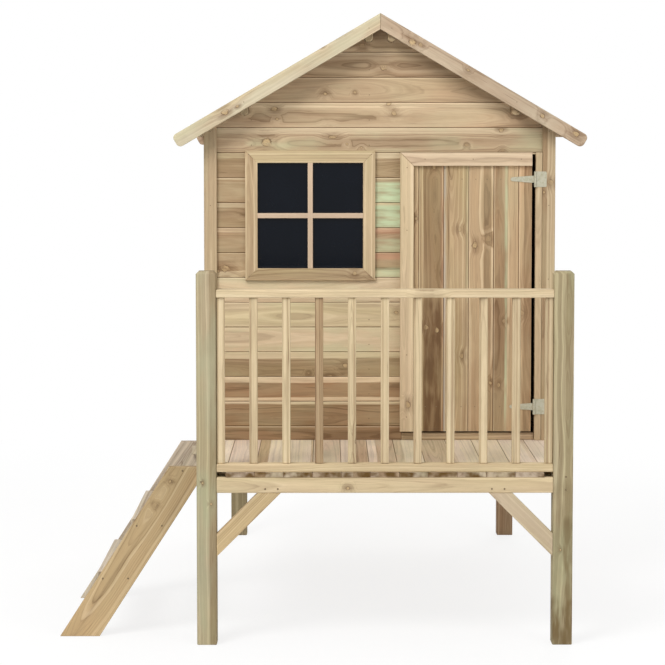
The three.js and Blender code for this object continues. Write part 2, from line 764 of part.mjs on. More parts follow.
// T-hinges: a plate with two knuckles and the pin, and a tapered strap with one knuckle
function addHinges() {
  const back = face_front - seat;
  const front = back - hinge_sheet;
  const half = hinge_plate_height / 2;
  const middle = strap_root / 2;
  const notch = middle + hinge_play;
  const clear = barrel_radius + hinge_play;
  const outer = barrel_radius / 2 + hinge_plate_width;
  const corner = plate_corner;
  const plateOutline = [
    [0, -half], [outer - corner, -half], [outer, -half + corner], [outer, half - corner],
    [outer - corner, half], [0, half], [0, notch], [clear, notch], [clear, -notch], [0, -notch],
  ];
  const tip = strap_tip / 2;
  const strapOutline = [
    [0, -middle], [0, middle], [-clear, middle], [-strap_length + tip, tip],
    [-strap_length + tip * (1 - Math.SQRT1_2), tip * Math.SQRT1_2], [-strap_length, 0],
    [-strap_length + tip * (1 - Math.SQRT1_2), -tip * Math.SQRT1_2], [-strap_length + tip, -tip],
    [-clear, -middle],
  ];
  const cylinder = (radius, low, high) => {
    const geometry = new THREE.CylinderGeometry(radius, radius, high - low, round_steps);
    return geometry.rotateX(Math.PI / 2).translate(0, 0, (low + high) / 2);
  };
  const sheet = (outline) => {
    const relative = [front - hinge_y, back - hinge_y];
    return toSolid(cutBoard(outline, relative[0], relative[1], 0));
  };
  const heights = [['upper', door_top - hinge_from_top], ['lower', door_foot + hinge_from_foot]];
  for (const [name, z] of heights) {
    const pin = toSolid(cylinder(pin_radius, -half, half));
    const plate = sheet(plateOutline)
      .add(toSolid(cylinder(barrel_radius, notch, half)))
      .add(toSolid(cylinder(barrel_radius, -half, -notch)))
      .add(pin);
    add(`hinge_plate_${name}`, toGeometry(plate), zinc, hinge_x, hinge_y, z);
    const bore = toSolid(cylinder(pin_radius + hinge_play, -half, half));
    const strap = sheet(strapOutline)
      .add(toSolid(cylinder(barrel_radius, -middle, middle)))
      .subtract(bore);
    add(`hinge_strap_${name}`, toGeometry(strap), zinc, hinge_x, hinge_y, z);
  }
}

// Directions down a slope and square to it, on the +X or -X side
function slopeAxes(side) {
  const down = new THREE.Vector3(side * Math.cos(roof_pitch), 0, -Math.sin(roof_pitch));
  const out = new THREE.Vector3(side * Math.sin(roof_pitch), 0, Math.cos(roof_pitch));
  return { down, out };
}

// Roof boards running down each slope, cut plumb at the ridge
function addRoofBoards() {
  const length = (roof_reach - eaves_setback) / Math.cos(roof_pitch);
  const joints = jointsAcross(roof_length, board_pitch / 2, board_pitch);
  for (const [side, name] of [[-1, 'left'], [1, 'right']]) {
    const { down, out } = slopeAxes(side);
    const geometry = boards(roof_length, roof_thickness, joints, length, true);
    const across = AXIS_Y.clone().multiplyScalar(side);
    turned(geometry, out.negate(), across, down);
    geometry.translate(0, side > 0 ? roof_front : roof_front + roof_length, ridge_height);
    const inner = seat / 2;
    const outer = roof_reach + overrun;
    const keep = block(Math.min(side * inner, side * outer), Math.max(side * inner, side * outer),
      roof_front - overrun, roof_front + roof_length + overrun, 0, ridge_height + overrun);
    const panel = toSolid(geometry).intersect(toSolid(keep));
    add(`roof_${name}`, toGeometry(panel), roof_wood);
  }
}

// Barge boards on the gable ends, with rounded tips and a plumb joint at the ridge
function addBargeBoards() {
  const length = roof_reach / Math.cos(roof_pitch);
  const start = seat / 2 / Math.cos(roof_pitch);
  const start_low = start + barge_width * Math.tan(roof_pitch);
  const r = barge_round;
  const shape = new THREE.Shape();
  shape.moveTo(start, 0);
  shape.lineTo(length - r, 0);
  shape.absarc(length - r, -r, r, Math.PI / 2, 0, true);
  shape.lineTo(length, r - barge_width);
  shape.absarc(length - r, r - barge_width, r, 0, -Math.PI / 2, true);
  shape.lineTo(start_low, -barge_width);
  const ends = [
    ['front', front_barge_back - barge_thickness],
    ['rear', rear_barge_front],
  ];
  for (const [end, front] of ends) {
    for (const [side, name] of [[-1, 'left'], [1, 'right']]) {
      const depth = barge_thickness - 2 * strip_ease;
      const geometry = new THREE.ExtrudeGeometry(shape, {
        depth,
        curveSegments: 5,
        bevelEnabled: true,
        bevelThickness: strip_ease,
        bevelSize: strip_ease,
        bevelOffset: -strip_ease,
        bevelSegments: 1,
      });
      geometry.translate(0, 0, -depth / 2);
      const { down, out } = slopeAxes(side);
      const through = down.clone().cross(out);
      turned(geometry, down, out, through);
      geometry.translate(0, front + barge_thickness / 2, ridge_height);
      add(`barge_${end}_${name}`, geometry, trim_wood);
    }
  }
}

addPosts();
addBeams();
addBraces();
addDeck();
addBalustrade();
addLadder();
addFrontWall();
addRearWall();
addSideWalls();
addCornerTrims();
addWindow();
addDoorway();
addDoorLeaf();
addCoverStrips();
addHinges();
addPurlins();
addRoofBoards();
addBargeBoards();

// The origin is on the ground, under the middle of the whole playhouse
const extent = new THREE.Box3().setFromObject(house);
const middle = extent.getCenter(new THREE.Vector3());
house.position.set(-middle.x, -middle.y, 0);

export default house;
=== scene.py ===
import math
import random

import bmesh
import bpy
from mathutils import Euler, Matrix, Vector


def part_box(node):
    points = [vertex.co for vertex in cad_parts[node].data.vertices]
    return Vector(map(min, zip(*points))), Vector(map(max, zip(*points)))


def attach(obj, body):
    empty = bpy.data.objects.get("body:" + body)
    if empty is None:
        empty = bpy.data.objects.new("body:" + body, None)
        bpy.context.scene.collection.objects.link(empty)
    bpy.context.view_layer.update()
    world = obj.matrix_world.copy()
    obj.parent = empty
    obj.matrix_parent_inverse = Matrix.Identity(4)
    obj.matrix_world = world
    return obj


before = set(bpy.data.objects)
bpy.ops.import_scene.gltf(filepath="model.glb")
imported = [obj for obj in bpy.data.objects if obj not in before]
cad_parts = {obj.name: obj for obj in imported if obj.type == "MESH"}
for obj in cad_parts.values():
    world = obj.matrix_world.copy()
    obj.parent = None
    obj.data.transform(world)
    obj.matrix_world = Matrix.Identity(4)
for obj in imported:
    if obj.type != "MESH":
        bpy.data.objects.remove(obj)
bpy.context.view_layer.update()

random.seed(41)

MM = 0.001
AXIS_X, AXIS_Y, AXIS_Z = Vector((1, 0, 0)), Vector((0, 1, 0)), Vector((0, 0, 1))
OUTWARD = {"left": -AXIS_X, "right": AXIS_X, "front": -AXIS_Y, "rear": AXIS_Y, "top": AXIS_Z}
SIGNS = {"left": -1, "right": 1}
OPPOSITE = {"left": "right", "right": "left"}
ENDS = ("front", "rear")
LEVELS = ("upper", "lower")
PURLIN_ROWS = ("ridge", "eaves")

# Camera
camera_place = (-0.0191, -8.3042, 1.7423)
camera_pitch = math.radians(3.835)
camera_yaw = math.radians(-0.178)
camera_lens = 115.74
camera_sensor = 36
camera_shift = -0.08

# Boards and strips, as they are laid in the part
wall_pitch = 93.6 * MM
wall_first_joint = 53 * MM
deck_board_count = 13
door_first_joint = 49 * MM
roof_angle = math.radians(30.4)
ladder_angle = math.radians(57.3)
brace_angle = math.radians(45)
barge_width = 90 * MM
frame_strip = 46 * MM
muntin_half = 9.5 * MM
strap_sheet = 2.3 * MM  # from the door's face to the face of the hinges' sheet
pane_line_height = 1448 * MM  # of one of the faint lines painted on the pane, which stand for the boards behind it
pane_line_pitch = 196 * MM

# Shading of rounded edges
smooth_angle = math.radians(36)
merge_distance = 0.01 * MM

# Growth rings and heartwood, in metres
noise_shift = 30.0  # how far apart two boards lie in the noises
year_shift = 50.0
years_per_metre = 95
ring_spacing = 4.5 * MM
ring_sway = 26 * MM
ring_ripple = 2.5 * MM
pith_depth = 34 * MM
pith_shift = 30 * MM
heart_sway = 9 * MM  # how far the heartwood's edges wander
heart_ripple = 2.4 * MM
heart_edge = 1.6 * MM
all_sapwood = (0.0, 0.0, 0.0)
sapwood_share = 0.4  # pieces without any heartwood
random_row_count = 24
heart_centre_shares = (-0.5, 0.5)
heart_half_shares = (0.15, 0.5)
heart_strengths = (0.3, 0.75)
seed_step = 101.0

# Knots
knot_share = 0.26
knot_size_least = 0.035
knot_size_spread = 0.06
knot_wander = 0.8
knot_fray = 1.1
knot_rings = 2.4
knot_swell = 11 * MM  # how far the grain bends round a knot
knot_roundness = (1.0, 1.25)  # along the grain and across it
no_knot = 20.0  # far from any knot, in knot sizes

# Joints, stains and the surface
seam_reach = 2.1 * MM  # how far the dark of a joint reaches to each side
plain_seam = 9.0  # far from any joint
stain_scale = (9, 45, 45)
run_fade = 30 * MM  # how softly a stain ends along the grain
share_fade = 0.08  # and across it, as a share of the board
muntin_strength = 0.7  # of the muntins' rosy colour
bump_depth = 0.4 * MM

# Noises of the timber: turns in a metre along the grain, across the face and into the depth, then detail
# and roughness
NOISES = {
    "knot_wander": (30.0, 46.0, 8.0, 1.0, 0.5),
    "knot_fray": (70.0, 110.0, 20.0, 1.0, 0.5),
    "heart_sway": (0.9, 2.0, 2.0, 1.0, 0.5),
    "heart_ripple": (9.0, 60.0, 60.0, 2.0, 0.5),
    "ring_sway": (1.1, 3.0, 3.0, 1.0, 0.5),
    "depth_sway": (1.7, 2.0, 2.0, 1.0, 0.5),
    "ring_ripple": (8.0, 45.0, 45.0, 2.0, 0.5),
    "streak": (1.5, 60.0, 60.0, 3.0, 0.6),
    "line": (3.5, 150.0, 150.0, 2.0, 0.6),
    "stroke": (9.0, 230.0, 230.0, 1.0, 0.5),
    "cloud": (2.4, 8.0, 8.0, 2.0, 0.5),
    "hue": (1.4, 14.0, 14.0, 2.0, 0.5),
    "blotch": (16.0, 22.0, 22.0, 2.0, 0.6),
    "stain": (3.2, 11.0, 11.0, 3.0, 0.5),
    "fibre": (28.0, 900.0, 900.0, 2.0, 0.7),
}
knot_cells = (4.6, 9.5, 1.5)

# Ramps of the materials: two values of a measure, and the result at each
RAMPS = {
    "knot": (0.8, 1.1, 1.0, 0.0),
    "knot_circle": (0.5, 0.1, 0.0, 1.0),
    "knot_rim": (0.0, 0.3, 1.0, 0.0),
    "rim_strength": (-0.16, 0.12, 0.15, 1.0),
    "halo": (1.0, 4.0, 1.0, 0.0),
    "swell": (0.0, 5.5, 1.0, 0.0),
    "year_end": (0.92, 1.0, 1.0, 0.2),
    "late_years": (0.36, 0.66, 0.06, 0.34),
    "dark_years": (0.46, 0.7, 0.0, 0.48),
    "pale_years": (0.5, 0.3, 0.0, 0.3),
    "streak": (0.52, 0.78, 0.0, 0.26),
    "line": (0.6, 0.78, 0.0, 0.2),
    "stroke": (0.66, 0.8, 0.0, 0.4),
    # Painted highlight: the pale strip a few mm beside a joint
    "highlight_near": (0.8, 1.3, 0.0, 0.45),
    "highlight_far": (1.7, 2.6, 1.0, 0.0),
    "green": (0.42, 0.64, 0.0, 1.0),
    "rosy": (0.0, 0.5, 0.0, 0.75),
    "olive": (0.0, -0.5, 0.0, 0.75),
    "halo_streak": (0.35, 0.65, 0.1, 0.6),
    "knot_heart": (-0.15, 0.15, 0.25, 0.75),
    "fibre": (0.3, 0.7, 0.95, 1.04),
    "cloud": (0.3, 0.7, 0.92, 1.06),
    "end_blotch": (0.34, 0.66, 0.5, 1.0),
    "seam": (0.0, 1.0, 0.85, 0.0),
    "stain": (0.3, 0.62, 0.25, 1.0),
    "zinc_cloud": (0.35, 0.7, 0.0, 1.0),
    "zinc_rough": (0.3, 0.75, 0.34, 0.55),
    "nail_cloud": (0.35, 0.65, 0.0, 1.0),
    "nail_rough": (0.3, 0.7, 0.4, 0.6),
    "pane_line": (0.47, 0.5, 0.0, 0.4),
    "pane_rough": (0.3, 0.7, 0.14, 0.22),
}
end_facing = (0.72, 0.9)  # from where a face counts as end grain

# How strongly the features of the materials show
late_gain = 0.125
late_base = 0.75
heart_figure_gain = 0.9
sap_figure = 0.74
figure_limit = 0.8
hue_spread = 1.3
board_hue_spread = 0.8
board_shade_spread = 0.1
circle_strength = 0.3
rim_strength = 0.78
fibre_gloss = 0.2
late_gloss = -0.1
timber_roughness = 0.62
fibre_height = 0.35
late_height = 0.5
rim_height = -0.5
bloom_strength = 0.4

# Light and floor
world_strength = 0.62
floor_reach = 30
shadow_reach = 2.3  # distance from the middle where the floor starts to turn white
shadow_end = 4.2
floor_white = 0.8  # share of plain white in what the camera sees of the floor near the object
lamp_aim = (0, 0, 1.1)
LAMPS = {  # place, size and power
    "key": ((-2.4, -4.2, 5.2), 2.6, 260),
    "fill": ((4.2, -5.0, 2.6), 3.5, 90),
    "back": ((1.5, 5.0, 4.5), 3.5, 160),
}


def linear(red, green, blue):
    """A colour written as on a screen, 0 to 255, as light values."""
    values = []
    for value in (red, green, blue):
        share = value / 255
        if share <= 0.04045:
            values.append(share / 12.92)
        else:
            values.append(((share + 0.055) / 1.055) ** 2.4)
    return (*values, 1)


# Tones of the timber: pale sapwood, brown heartwood and the tint of its green treatment
TONES = {
    "post": (linear(166, 150, 122), linear(134, 116, 86), linear(154, 154, 126)),
    # The next two rows are darker copies of the post's tones for the rear posts: painted shade under the
    # platform
    "post_painted_shade": (linear(134, 120, 90), linear(106, 88, 62), linear(122, 120, 90)),
    "post_brown_painted_shade": (linear(154, 128, 98), linear(114, 90, 68), linear(140, 126, 98)),
    "beam": (linear(200, 179, 144), linear(166, 140, 106), linear(186, 178, 142)),
    "deck": (linear(226, 208, 188), linear(178, 146, 110), linear(184, 178, 150)),
    "rail": (linear(205, 184, 148), linear(152, 124, 90), linear(194, 184, 148)),
    "ladder": (linear(188, 165, 124), linear(156, 128, 90), linear(172, 160, 120)),
    "tread": (linear(192, 178, 160), linear(162, 142, 120), linear(180, 172, 154)),
    "wall": (linear(200, 178, 146), linear(148, 119, 87), linear(184, 182, 146)),
    "trim": (linear(180, 158, 126), linear(148, 122, 90), linear(170, 160, 126)),
    "frame": (linear(191, 168, 134), linear(150, 122, 90), linear(176, 164, 128)),
    "strip": (linear(204, 179, 150), linear(180, 150, 118), linear(196, 184, 152)),
    "door": (linear(182, 154, 119), linear(128, 98, 66), linear(170, 158, 124)),
    "barge": (linear(192, 171, 144), linear(162, 140, 117), linear(194, 186, 163)),
    "roof": (linear(192, 169, 132), linear(150, 122, 88), linear(176, 166, 128)),
}
white = (1, 1, 1, 1)
knot_heart = linear(202, 174, 128)
knot_colour = linear(88, 64, 42)
late_colour = linear(104, 76, 48)
joint_dirt_and_shade = linear(92, 64, 40)
end_colour = linear(86, 60, 14)
# Pale of the sapwood's years and of the deck's pale patch, and also the painted highlight beside the joints
pale_wood_and_highlight = linear(232, 213, 180)
rosy_light = linear(255, 246, 243)
olive_light = linear(248, 254, 240)
mint = linear(184, 198, 160)
copper = linear(174, 130, 102)
pale_blue = linear(176, 166, 152)
foot_brown = linear(108, 90, 58)
post_green = linear(146, 158, 124)
wall_brown = linear(140, 112, 80)
door_brown = linear(118, 90, 60)
door_dark = linear(98, 70, 42)
barge_brown = linear(134, 108, 80)
muntin_rose = linear(188, 164, 144)
zinc_warm = linear(178, 172, 150)
zinc_dull = linear(158, 152, 126)
zinc_bloom = linear(186, 188, 174)
nail_dark = linear(104, 88, 66)
nail_pale = linear(136, 118, 90)
# pane_black and pane_blue are painted shade for the dark cabin behind the pane, and pane_line_colour the
# faint boards seen through it
pane_black = linear(3, 7, 14)
pane_blue = linear(9, 14, 23)
pane_line_colour = linear(26, 32, 40)
floor_grey = linear(236, 236, 235)
floor_pale = linear(240, 240, 240)


class Graph:
    """Short ways to add nodes to a node tree and to join them."""

    def __init__(self, tree):
        self.tree = tree

    def add(self, kind, settings=None, **inputs):
        node = self.tree.nodes.new(kind)
        for name, value in (settings or {}).items():
            setattr(node, name, value)
        for name, value in inputs.items():
            self.feed(node.inputs[name.replace("_", " ")], value)
        return node

    def feed(self, socket, value):
        if isinstance(value, bpy.types.NodeSocket):
            self.tree.links.new(value, socket)
        else:
            socket.default_value = value

    def operate(self, kind, operation, values):
        node = self.add(kind, {"operation": operation})
        for socket, value in zip(node.inputs, values):
            self.feed(socket, value)
        return node

    def math(self, operation, *values, clamp=False):
        node = self.operate("ShaderNodeMath", operation, values)
        node.use_clamp = clamp
        return node.outputs[0]

    def times(self, first, second, clamp=False):
        return self.math("MULTIPLY", first, second, clamp=clamp)

    def plus(self, first, second):
        return self.math("ADD", first, second)

    def minus(self, first, second):
        return self.math("SUBTRACT", first, second)

    def times_plus(self, first, second, third):
        return self.math("MULTIPLY_ADD", first, second, third)

    def vector(self, operation, *values):
        node = self.operate("ShaderNodeVectorMath", operation, values)
        return node.outputs["Value" if operation in ("DOT_PRODUCT", "LENGTH") else "Vector"]

    def dot(self, vector, direction):
        return self.vector("DOT_PRODUCT", vector, tuple(direction))

    def split(self, vector):
        return self.add("ShaderNodeSeparateXYZ", Vector=vector).outputs

    def join(self, x, y, z):
        return self.add("ShaderNodeCombineXYZ", X=x, Y=y, Z=z).outputs[0]

    def ramp(self, value, low, high, start=0.0, end=1.0):
        """value from low to high, eased to start to end."""
        node = self.add("ShaderNodeMapRange", {"interpolation_type": "SMOOTHSTEP"}, Value=value,
                        From_Min=low, From_Max=high, To_Min=start, To_Max=end)
        return node.outputs["Result"]

    def eased(self, value, name):
        return self.ramp(value, *RAMPS[name])

    def mix(self, factor, first, second, blend="MIX"):
        node = self.add("ShaderNodeMix", {"data_type": "RGBA", "blend_type": blend}, Factor=factor)
        self.feed(node.inputs[6], first)
        self.feed(node.inputs[7], second)
        return node.outputs[2]

    def noise(self, vector, detail=2.0, roughness=0.5, scale=1.0):
        node = self.add("ShaderNodeTexNoise", Vector=vector, Scale=scale, Detail=detail,
                        Roughness=roughness)
        return node.outputs[0]

    def coordinates(self):
        return self.add("ShaderNodeTexCoord").outputs["Object"]

    def mix_shaders(self, factor, first, second):
        node = self.add("ShaderNodeMixShader", Fac=factor)
        self.feed(node.inputs[1], first)
        self.feed(node.inputs[2], second)
        return node.outputs[0]

    def surface(self, colour, roughness, **inputs):
        node = self.add("ShaderNodeBsdfPrincipled", Base_Color=colour, Roughness=roughness, **inputs)
        return node.outputs[0]

    def finish(self, surface):
        self.add("ShaderNodeOutputMaterial", Surface=surface)


def new_material(name):
    """An empty material and its graph."""
    material = bpy.data.materials.new(name)
    material.use_nodes = True
    material.node_tree.nodes.clear()
    return material, Graph(material.node_tree)


def timber_group():
    """Sawn softwood. Place is x along the grain, y across the face and z into the depth, in metres. The
    heartwood lies between Low and High across the face."""
    tree = bpy.data.node_groups.new("timber", "ShaderNodeTree")
    sockets = [("INPUT", "Vector", ("Place",)),
               ("INPUT", "Float", ("Board", "Seam", "End", "Tone", "Green", "Low", "High", "Strength",
                                   "Stained", "Knot", "Figure", "Sway", "Late", "Vary")),
               ("INPUT", "Color", ("Sap", "Heart", "Tint", "Stain")),
               ("OUTPUT", "Color", ("Colour",)),
               ("OUTPUT", "Float", ("Roughness", "Height"))]
    for direction, kind, names in sockets:
        for name in names:
            tree.interface.new_socket(name=name, in_out=direction, socket_type=f"NodeSocket{kind}")
    g = Graph(tree)
    given = tree.nodes.new("NodeGroupInput").outputs
    result = tree.nodes.new("NodeGroupOutput").inputs

    chance = g.add("ShaderNodeTexWhiteNoise", {"noise_dimensions": "1D"}, W=given["Board"])
    parts = g.split(chance.outputs["Color"])
    first, second, third = parts["X"], parts["Y"], parts["Z"]
    shift = g.vector("SCALE", chance.outputs["Color"])
    g.feed(shift.node.inputs["Scale"], noise_shift)
    place = g.split(given["Place"])

    def stretched(scale):
        return g.vector("ADD", g.vector("MULTIPLY", given["Place"], scale), shift)

    def noise(name):
        *scale, detail, roughness = NOISES[name]
        return g.noise(stretched(scale), detail, roughness)

    def centred(name):
        return g.minus(noise(name), 0.5)

    # Knots, and the grain that runs round them
    wander = centred("knot_wander")
    cells = g.add("ShaderNodeTexVoronoi", Vector=stretched(knot_cells), Scale=1.0)
    cell_chance = g.split(cells.outputs["Color"])
    has_knot = g.math("LESS_THAN", cell_chance["X"], knot_share)
    size = g.times_plus(cell_chance["Y"], knot_size_spread, knot_size_least)
    distance = g.math("DIVIDE", cells.outputs["Distance"], size)
    distance = g.times_plus(g.minus(1.0, has_knot), no_knot, distance)
    distance = g.math("MINIMUM", distance, given["Knot"])
    distance = g.times_plus(wander, knot_wander, distance)
    distance = g.times_plus(centred("knot_fray"), knot_fray, distance)
    knot = g.eased(distance, "knot")
    circle = g.math("ABSOLUTE", g.minus(g.math("FRACT", g.times(distance, knot_rings)), 0.5))
    circle = g.times(g.eased(circle, "knot_circle"), knot)
    rim = g.eased(g.math("ABSOLUTE", g.minus(distance, 1.0)), "knot_rim")
    rim = g.times(rim, g.eased(wander, "rim_strength"))
    halo = g.eased(distance, "halo")
    swell = g.eased(distance, "swell")

    # Heartwood between its two wavy edges
    edge = g.times_plus(centred("heart_sway"), 2 * heart_sway, place["Y"])
    edge = g.times_plus(centred("heart_ripple"), 2 * heart_ripple, edge)
    edge = g.times_plus(swell, knot_swell / 2, edge)
    above = g.ramp(g.minus(edge, given["Low"]), -heart_edge, heart_edge)
    below = g.ramp(g.minus(given["High"], edge), -heart_edge, heart_edge)
    heart = g.times(g.times(above, below), given["Strength"])

    # Growth rings round a pith that lies somewhere behind the heartwood's middle
    pith = g.times(g.plus(given["Low"], given["High"]), 0.5)
    pith = g.times_plus(g.minus(third, 0.5), pith_shift, pith)
    across = g.minus(place["Y"], pith)
    across = g.times_plus(centred("ring_sway"), g.times(given["Sway"], ring_sway), across)
    deep = g.plus(g.times_plus(second, pith_depth, pith_depth / 6), place["Z"])
    deep = g.times_plus(centred("depth_sway"), g.times(given["Sway"], 2 * ring_sway), deep)
    radius = g.math("SQRT", g.times_plus(deep, deep, g.times(across, across)))
    radius = g.times_plus(centred("ring_ripple"), 2 * ring_ripple, radius)
    radius = g.times_plus(swell, knot_swell, radius)
    spacing = g.times_plus(third, ring_spacing, ring_spacing / 2)
    turn = g.math("FRACT", g.math("DIVIDE", radius, spacing))
    late = g.times(g.math("POWER", turn, given["Late"]), g.eased(turn, "year_end"))
    years = g.add("ShaderNodeTexNoise", {"noise_dimensions": "1D"}, Scale=1.0, Detail=3.0, Roughness=0.6,
                  W=g.times_plus(radius, years_per_metre, g.times(first, year_shift))).outputs[0]

    # The figure: late wood, bands of years, streaks and strokes
    streak = noise("streak")
    amount = g.times(late, g.eased(years, "late_years"))
    amount = g.times(amount, g.times_plus(given["Late"], late_gain, late_base))
    amount = g.plus(amount, g.math("DIVIDE", g.eased(years, "dark_years"), given["Late"]))
    amount = g.plus(amount, g.eased(streak, "streak"))
    for name in ("line", "stroke"):
        amount = g.plus(amount, g.eased(noise(name), name))
    amount = g.times(amount, g.times_plus(heart, heart_figure_gain, sap_figure))
    amount = g.times(amount, given["Figure"])
    colour = g.mix(heart, given["Sap"], given["Heart"])
    colour = g.mix(g.math("MINIMUM", amount, figure_limit), colour, late_colour)

    # Pale years, a painted highlight beside each joint on one side only (just below it on the walls) where
    # the bevel catches light from above, green treatment, the board's own hue, and stains
    light = g.times(g.eased(years, "pale_years"), g.minus(1.0, heart))
    # Painted highlight: a pale strip beside each joint, on the upper half of a board only
    bevel_highlight = g.times(g.eased(given["Seam"], "highlight_near"), g.eased(given["Seam"], "highlight_far"))
    bevel_highlight = g.times(bevel_highlight, g.math("GREATER_THAN", place["Y"], 0.0))
    colour = g.mix(g.math("MAXIMUM", light, bevel_highlight), colour, pale_wood_and_highlight)
    green = g.times(g.eased(noise("stain"), "green"), given["Green"], clamp=True)
    colour = g.mix(green, colour, given["Tint"])
    warm = g.plus(g.times_plus(noise("hue"), hue_spread, -hue_spread / 2),
                  g.times_plus(third, board_hue_spread, -board_hue_spread / 2))
    warm = g.times(warm, given["Vary"])
    colour = g.mix(g.eased(warm, "rosy"), colour, rosy_light, "MULTIPLY")
    colour = g.mix(g.eased(warm, "olive"), colour, olive_light, "MULTIPLY")
    colour = g.mix(given["Stained"], colour, given["Stain"])

    # Knots, tone, end grain and joints
    colour = g.mix(g.times(halo, g.eased(streak, "halo_streak")), colour, late_colour)
    colour = g.mix(g.times(knot, g.eased(wander, "knot_heart")), colour, knot_heart)
    colour = g.mix(g.times(circle, circle_strength), colour, knot_colour)
    colour = g.mix(g.times(rim, rim_strength), colour, knot_colour)
    fibre = noise("fibre")
    shade = g.times(g.times_plus(second, board_shade_spread, -board_shade_spread / 2), given["Vary"])
    shade = g.times(g.plus(shade, 1.0), given["Tone"])
    shade = g.times(g.times(shade, g.eased(fibre, "fibre")), g.eased(noise("cloud"), "cloud"))
    colour = g.mix(1.0, colour, g.join(shade, shade, shade), "MULTIPLY")
    colour = g.mix(g.times(given["End"], g.eased(noise("blotch"), "end_blotch")), colour, end_colour)
    # Dark of the joints: dirt in the grooves, and painted shade where the grooves' shadow falls
    colour = g.mix(g.eased(given["Seam"], "seam"), colour, joint_dirt_and_shade)
    g.feed(result["Colour"], colour)
    rough = g.times_plus(fibre, fibre_gloss, g.times_plus(late, late_gloss, timber_roughness))
    g.feed(result["Roughness"], rough)
    height = g.times_plus(fibre, fibre_height, g.times(late, late_height))
    g.feed(result["Height"], g.times_plus(rim, rim_height, height))
    return tree


TIMBER = timber_group()


def row_values(g, share, rows):
    """A table of four values per board, read at share along it, as one colour ramp with steps."""
    node = g.add("ShaderNodeValToRGB", Fac=share)
    steps = node.color_ramp.elements
    node.color_ramp.interpolation = "CONSTANT"
    steps.remove(steps[1])
    for number, row in enumerate(rows):
        step = steps[0] if number == 0 else steps.new(number / len(rows))
        step.color = [value / 2 + 0.5 for value in row]
    parts = g.add("ShaderNodeSeparateColor", Color=node.outputs["Color"]).outputs
    packed = (parts["Red"], parts["Green"], parts["Blue"], node.outputs["Alpha"])
    return [g.times_plus(value, 2.0, -1.0) for value in packed]


def random_heart(width):
    """The heartwood of a single piece: its low and high edge and its strength."""
    if random.random() < sapwood_share:
        return all_sapwood
    centre = random.uniform(*heart_centre_shares) * width
    half = random.uniform(*heart_half_shares) * width
    return (centre - half, centre + half, random.uniform(*heart_strengths))


def stains(g, patches, uneven, run, share, index):
    """The colour and the strength of the patches. Later ones show where they are stronger."""
    ragged = g.eased(uneven, "stain")
    colour, total = None, 0.0
    for board, along, over, patch_colour, strength in patches:
        inside = ragged
        if board is not None:
            inside = g.times(inside, g.math("COMPARE", index, float(board), 0.5))
        for value, (start, stop), fade in ((run, along, run_fade), (share, over, share_fade)):
            inside = g.times(inside, g.ramp(value, start - fade, start + fade))
            inside = g.times(inside, g.ramp(value, stop + fade, stop - fade))
        inside = g.times(inside, strength)
        if colour is None:
            colour = patch_colour
        else:
            colour = g.mix(g.math("GREATER_THAN", inside, total), colour, patch_colour)
        total = g.math("MAXIMUM", total, inside)
    return colour, total


def nearest_knot(g, knots, coordinates, grain, across, boards, index):
    """How far the nearest of the knots is, in knot sizes. A knot stays on its own board."""
    nearest = no_knot
    for along_place, across_place, size in knots:
        knot_place = grain * along_place * MM + across * across_place * MM
        gap = g.vector("SUBTRACT", coordinates, tuple(knot_place))
        run = g.math("DIVIDE", g.dot(gap, grain), size * MM * knot_roundness[0])
        rise = g.math("DIVIDE", g.dot(gap, across), size * MM / knot_roundness[1])
        away = g.math("SQRT", g.times_plus(rise, rise, g.times(run, run)))
        if boards is not None:
            board = math.floor((across_place * MM - boards[0]) / boards[1])
            other = g.minus(1.0, g.math("COMPARE", index, float(board), 0.5))
            away = g.times_plus(other, no_knot, away)
        nearest = g.math("MINIMUM", nearest, away)
    return nearest


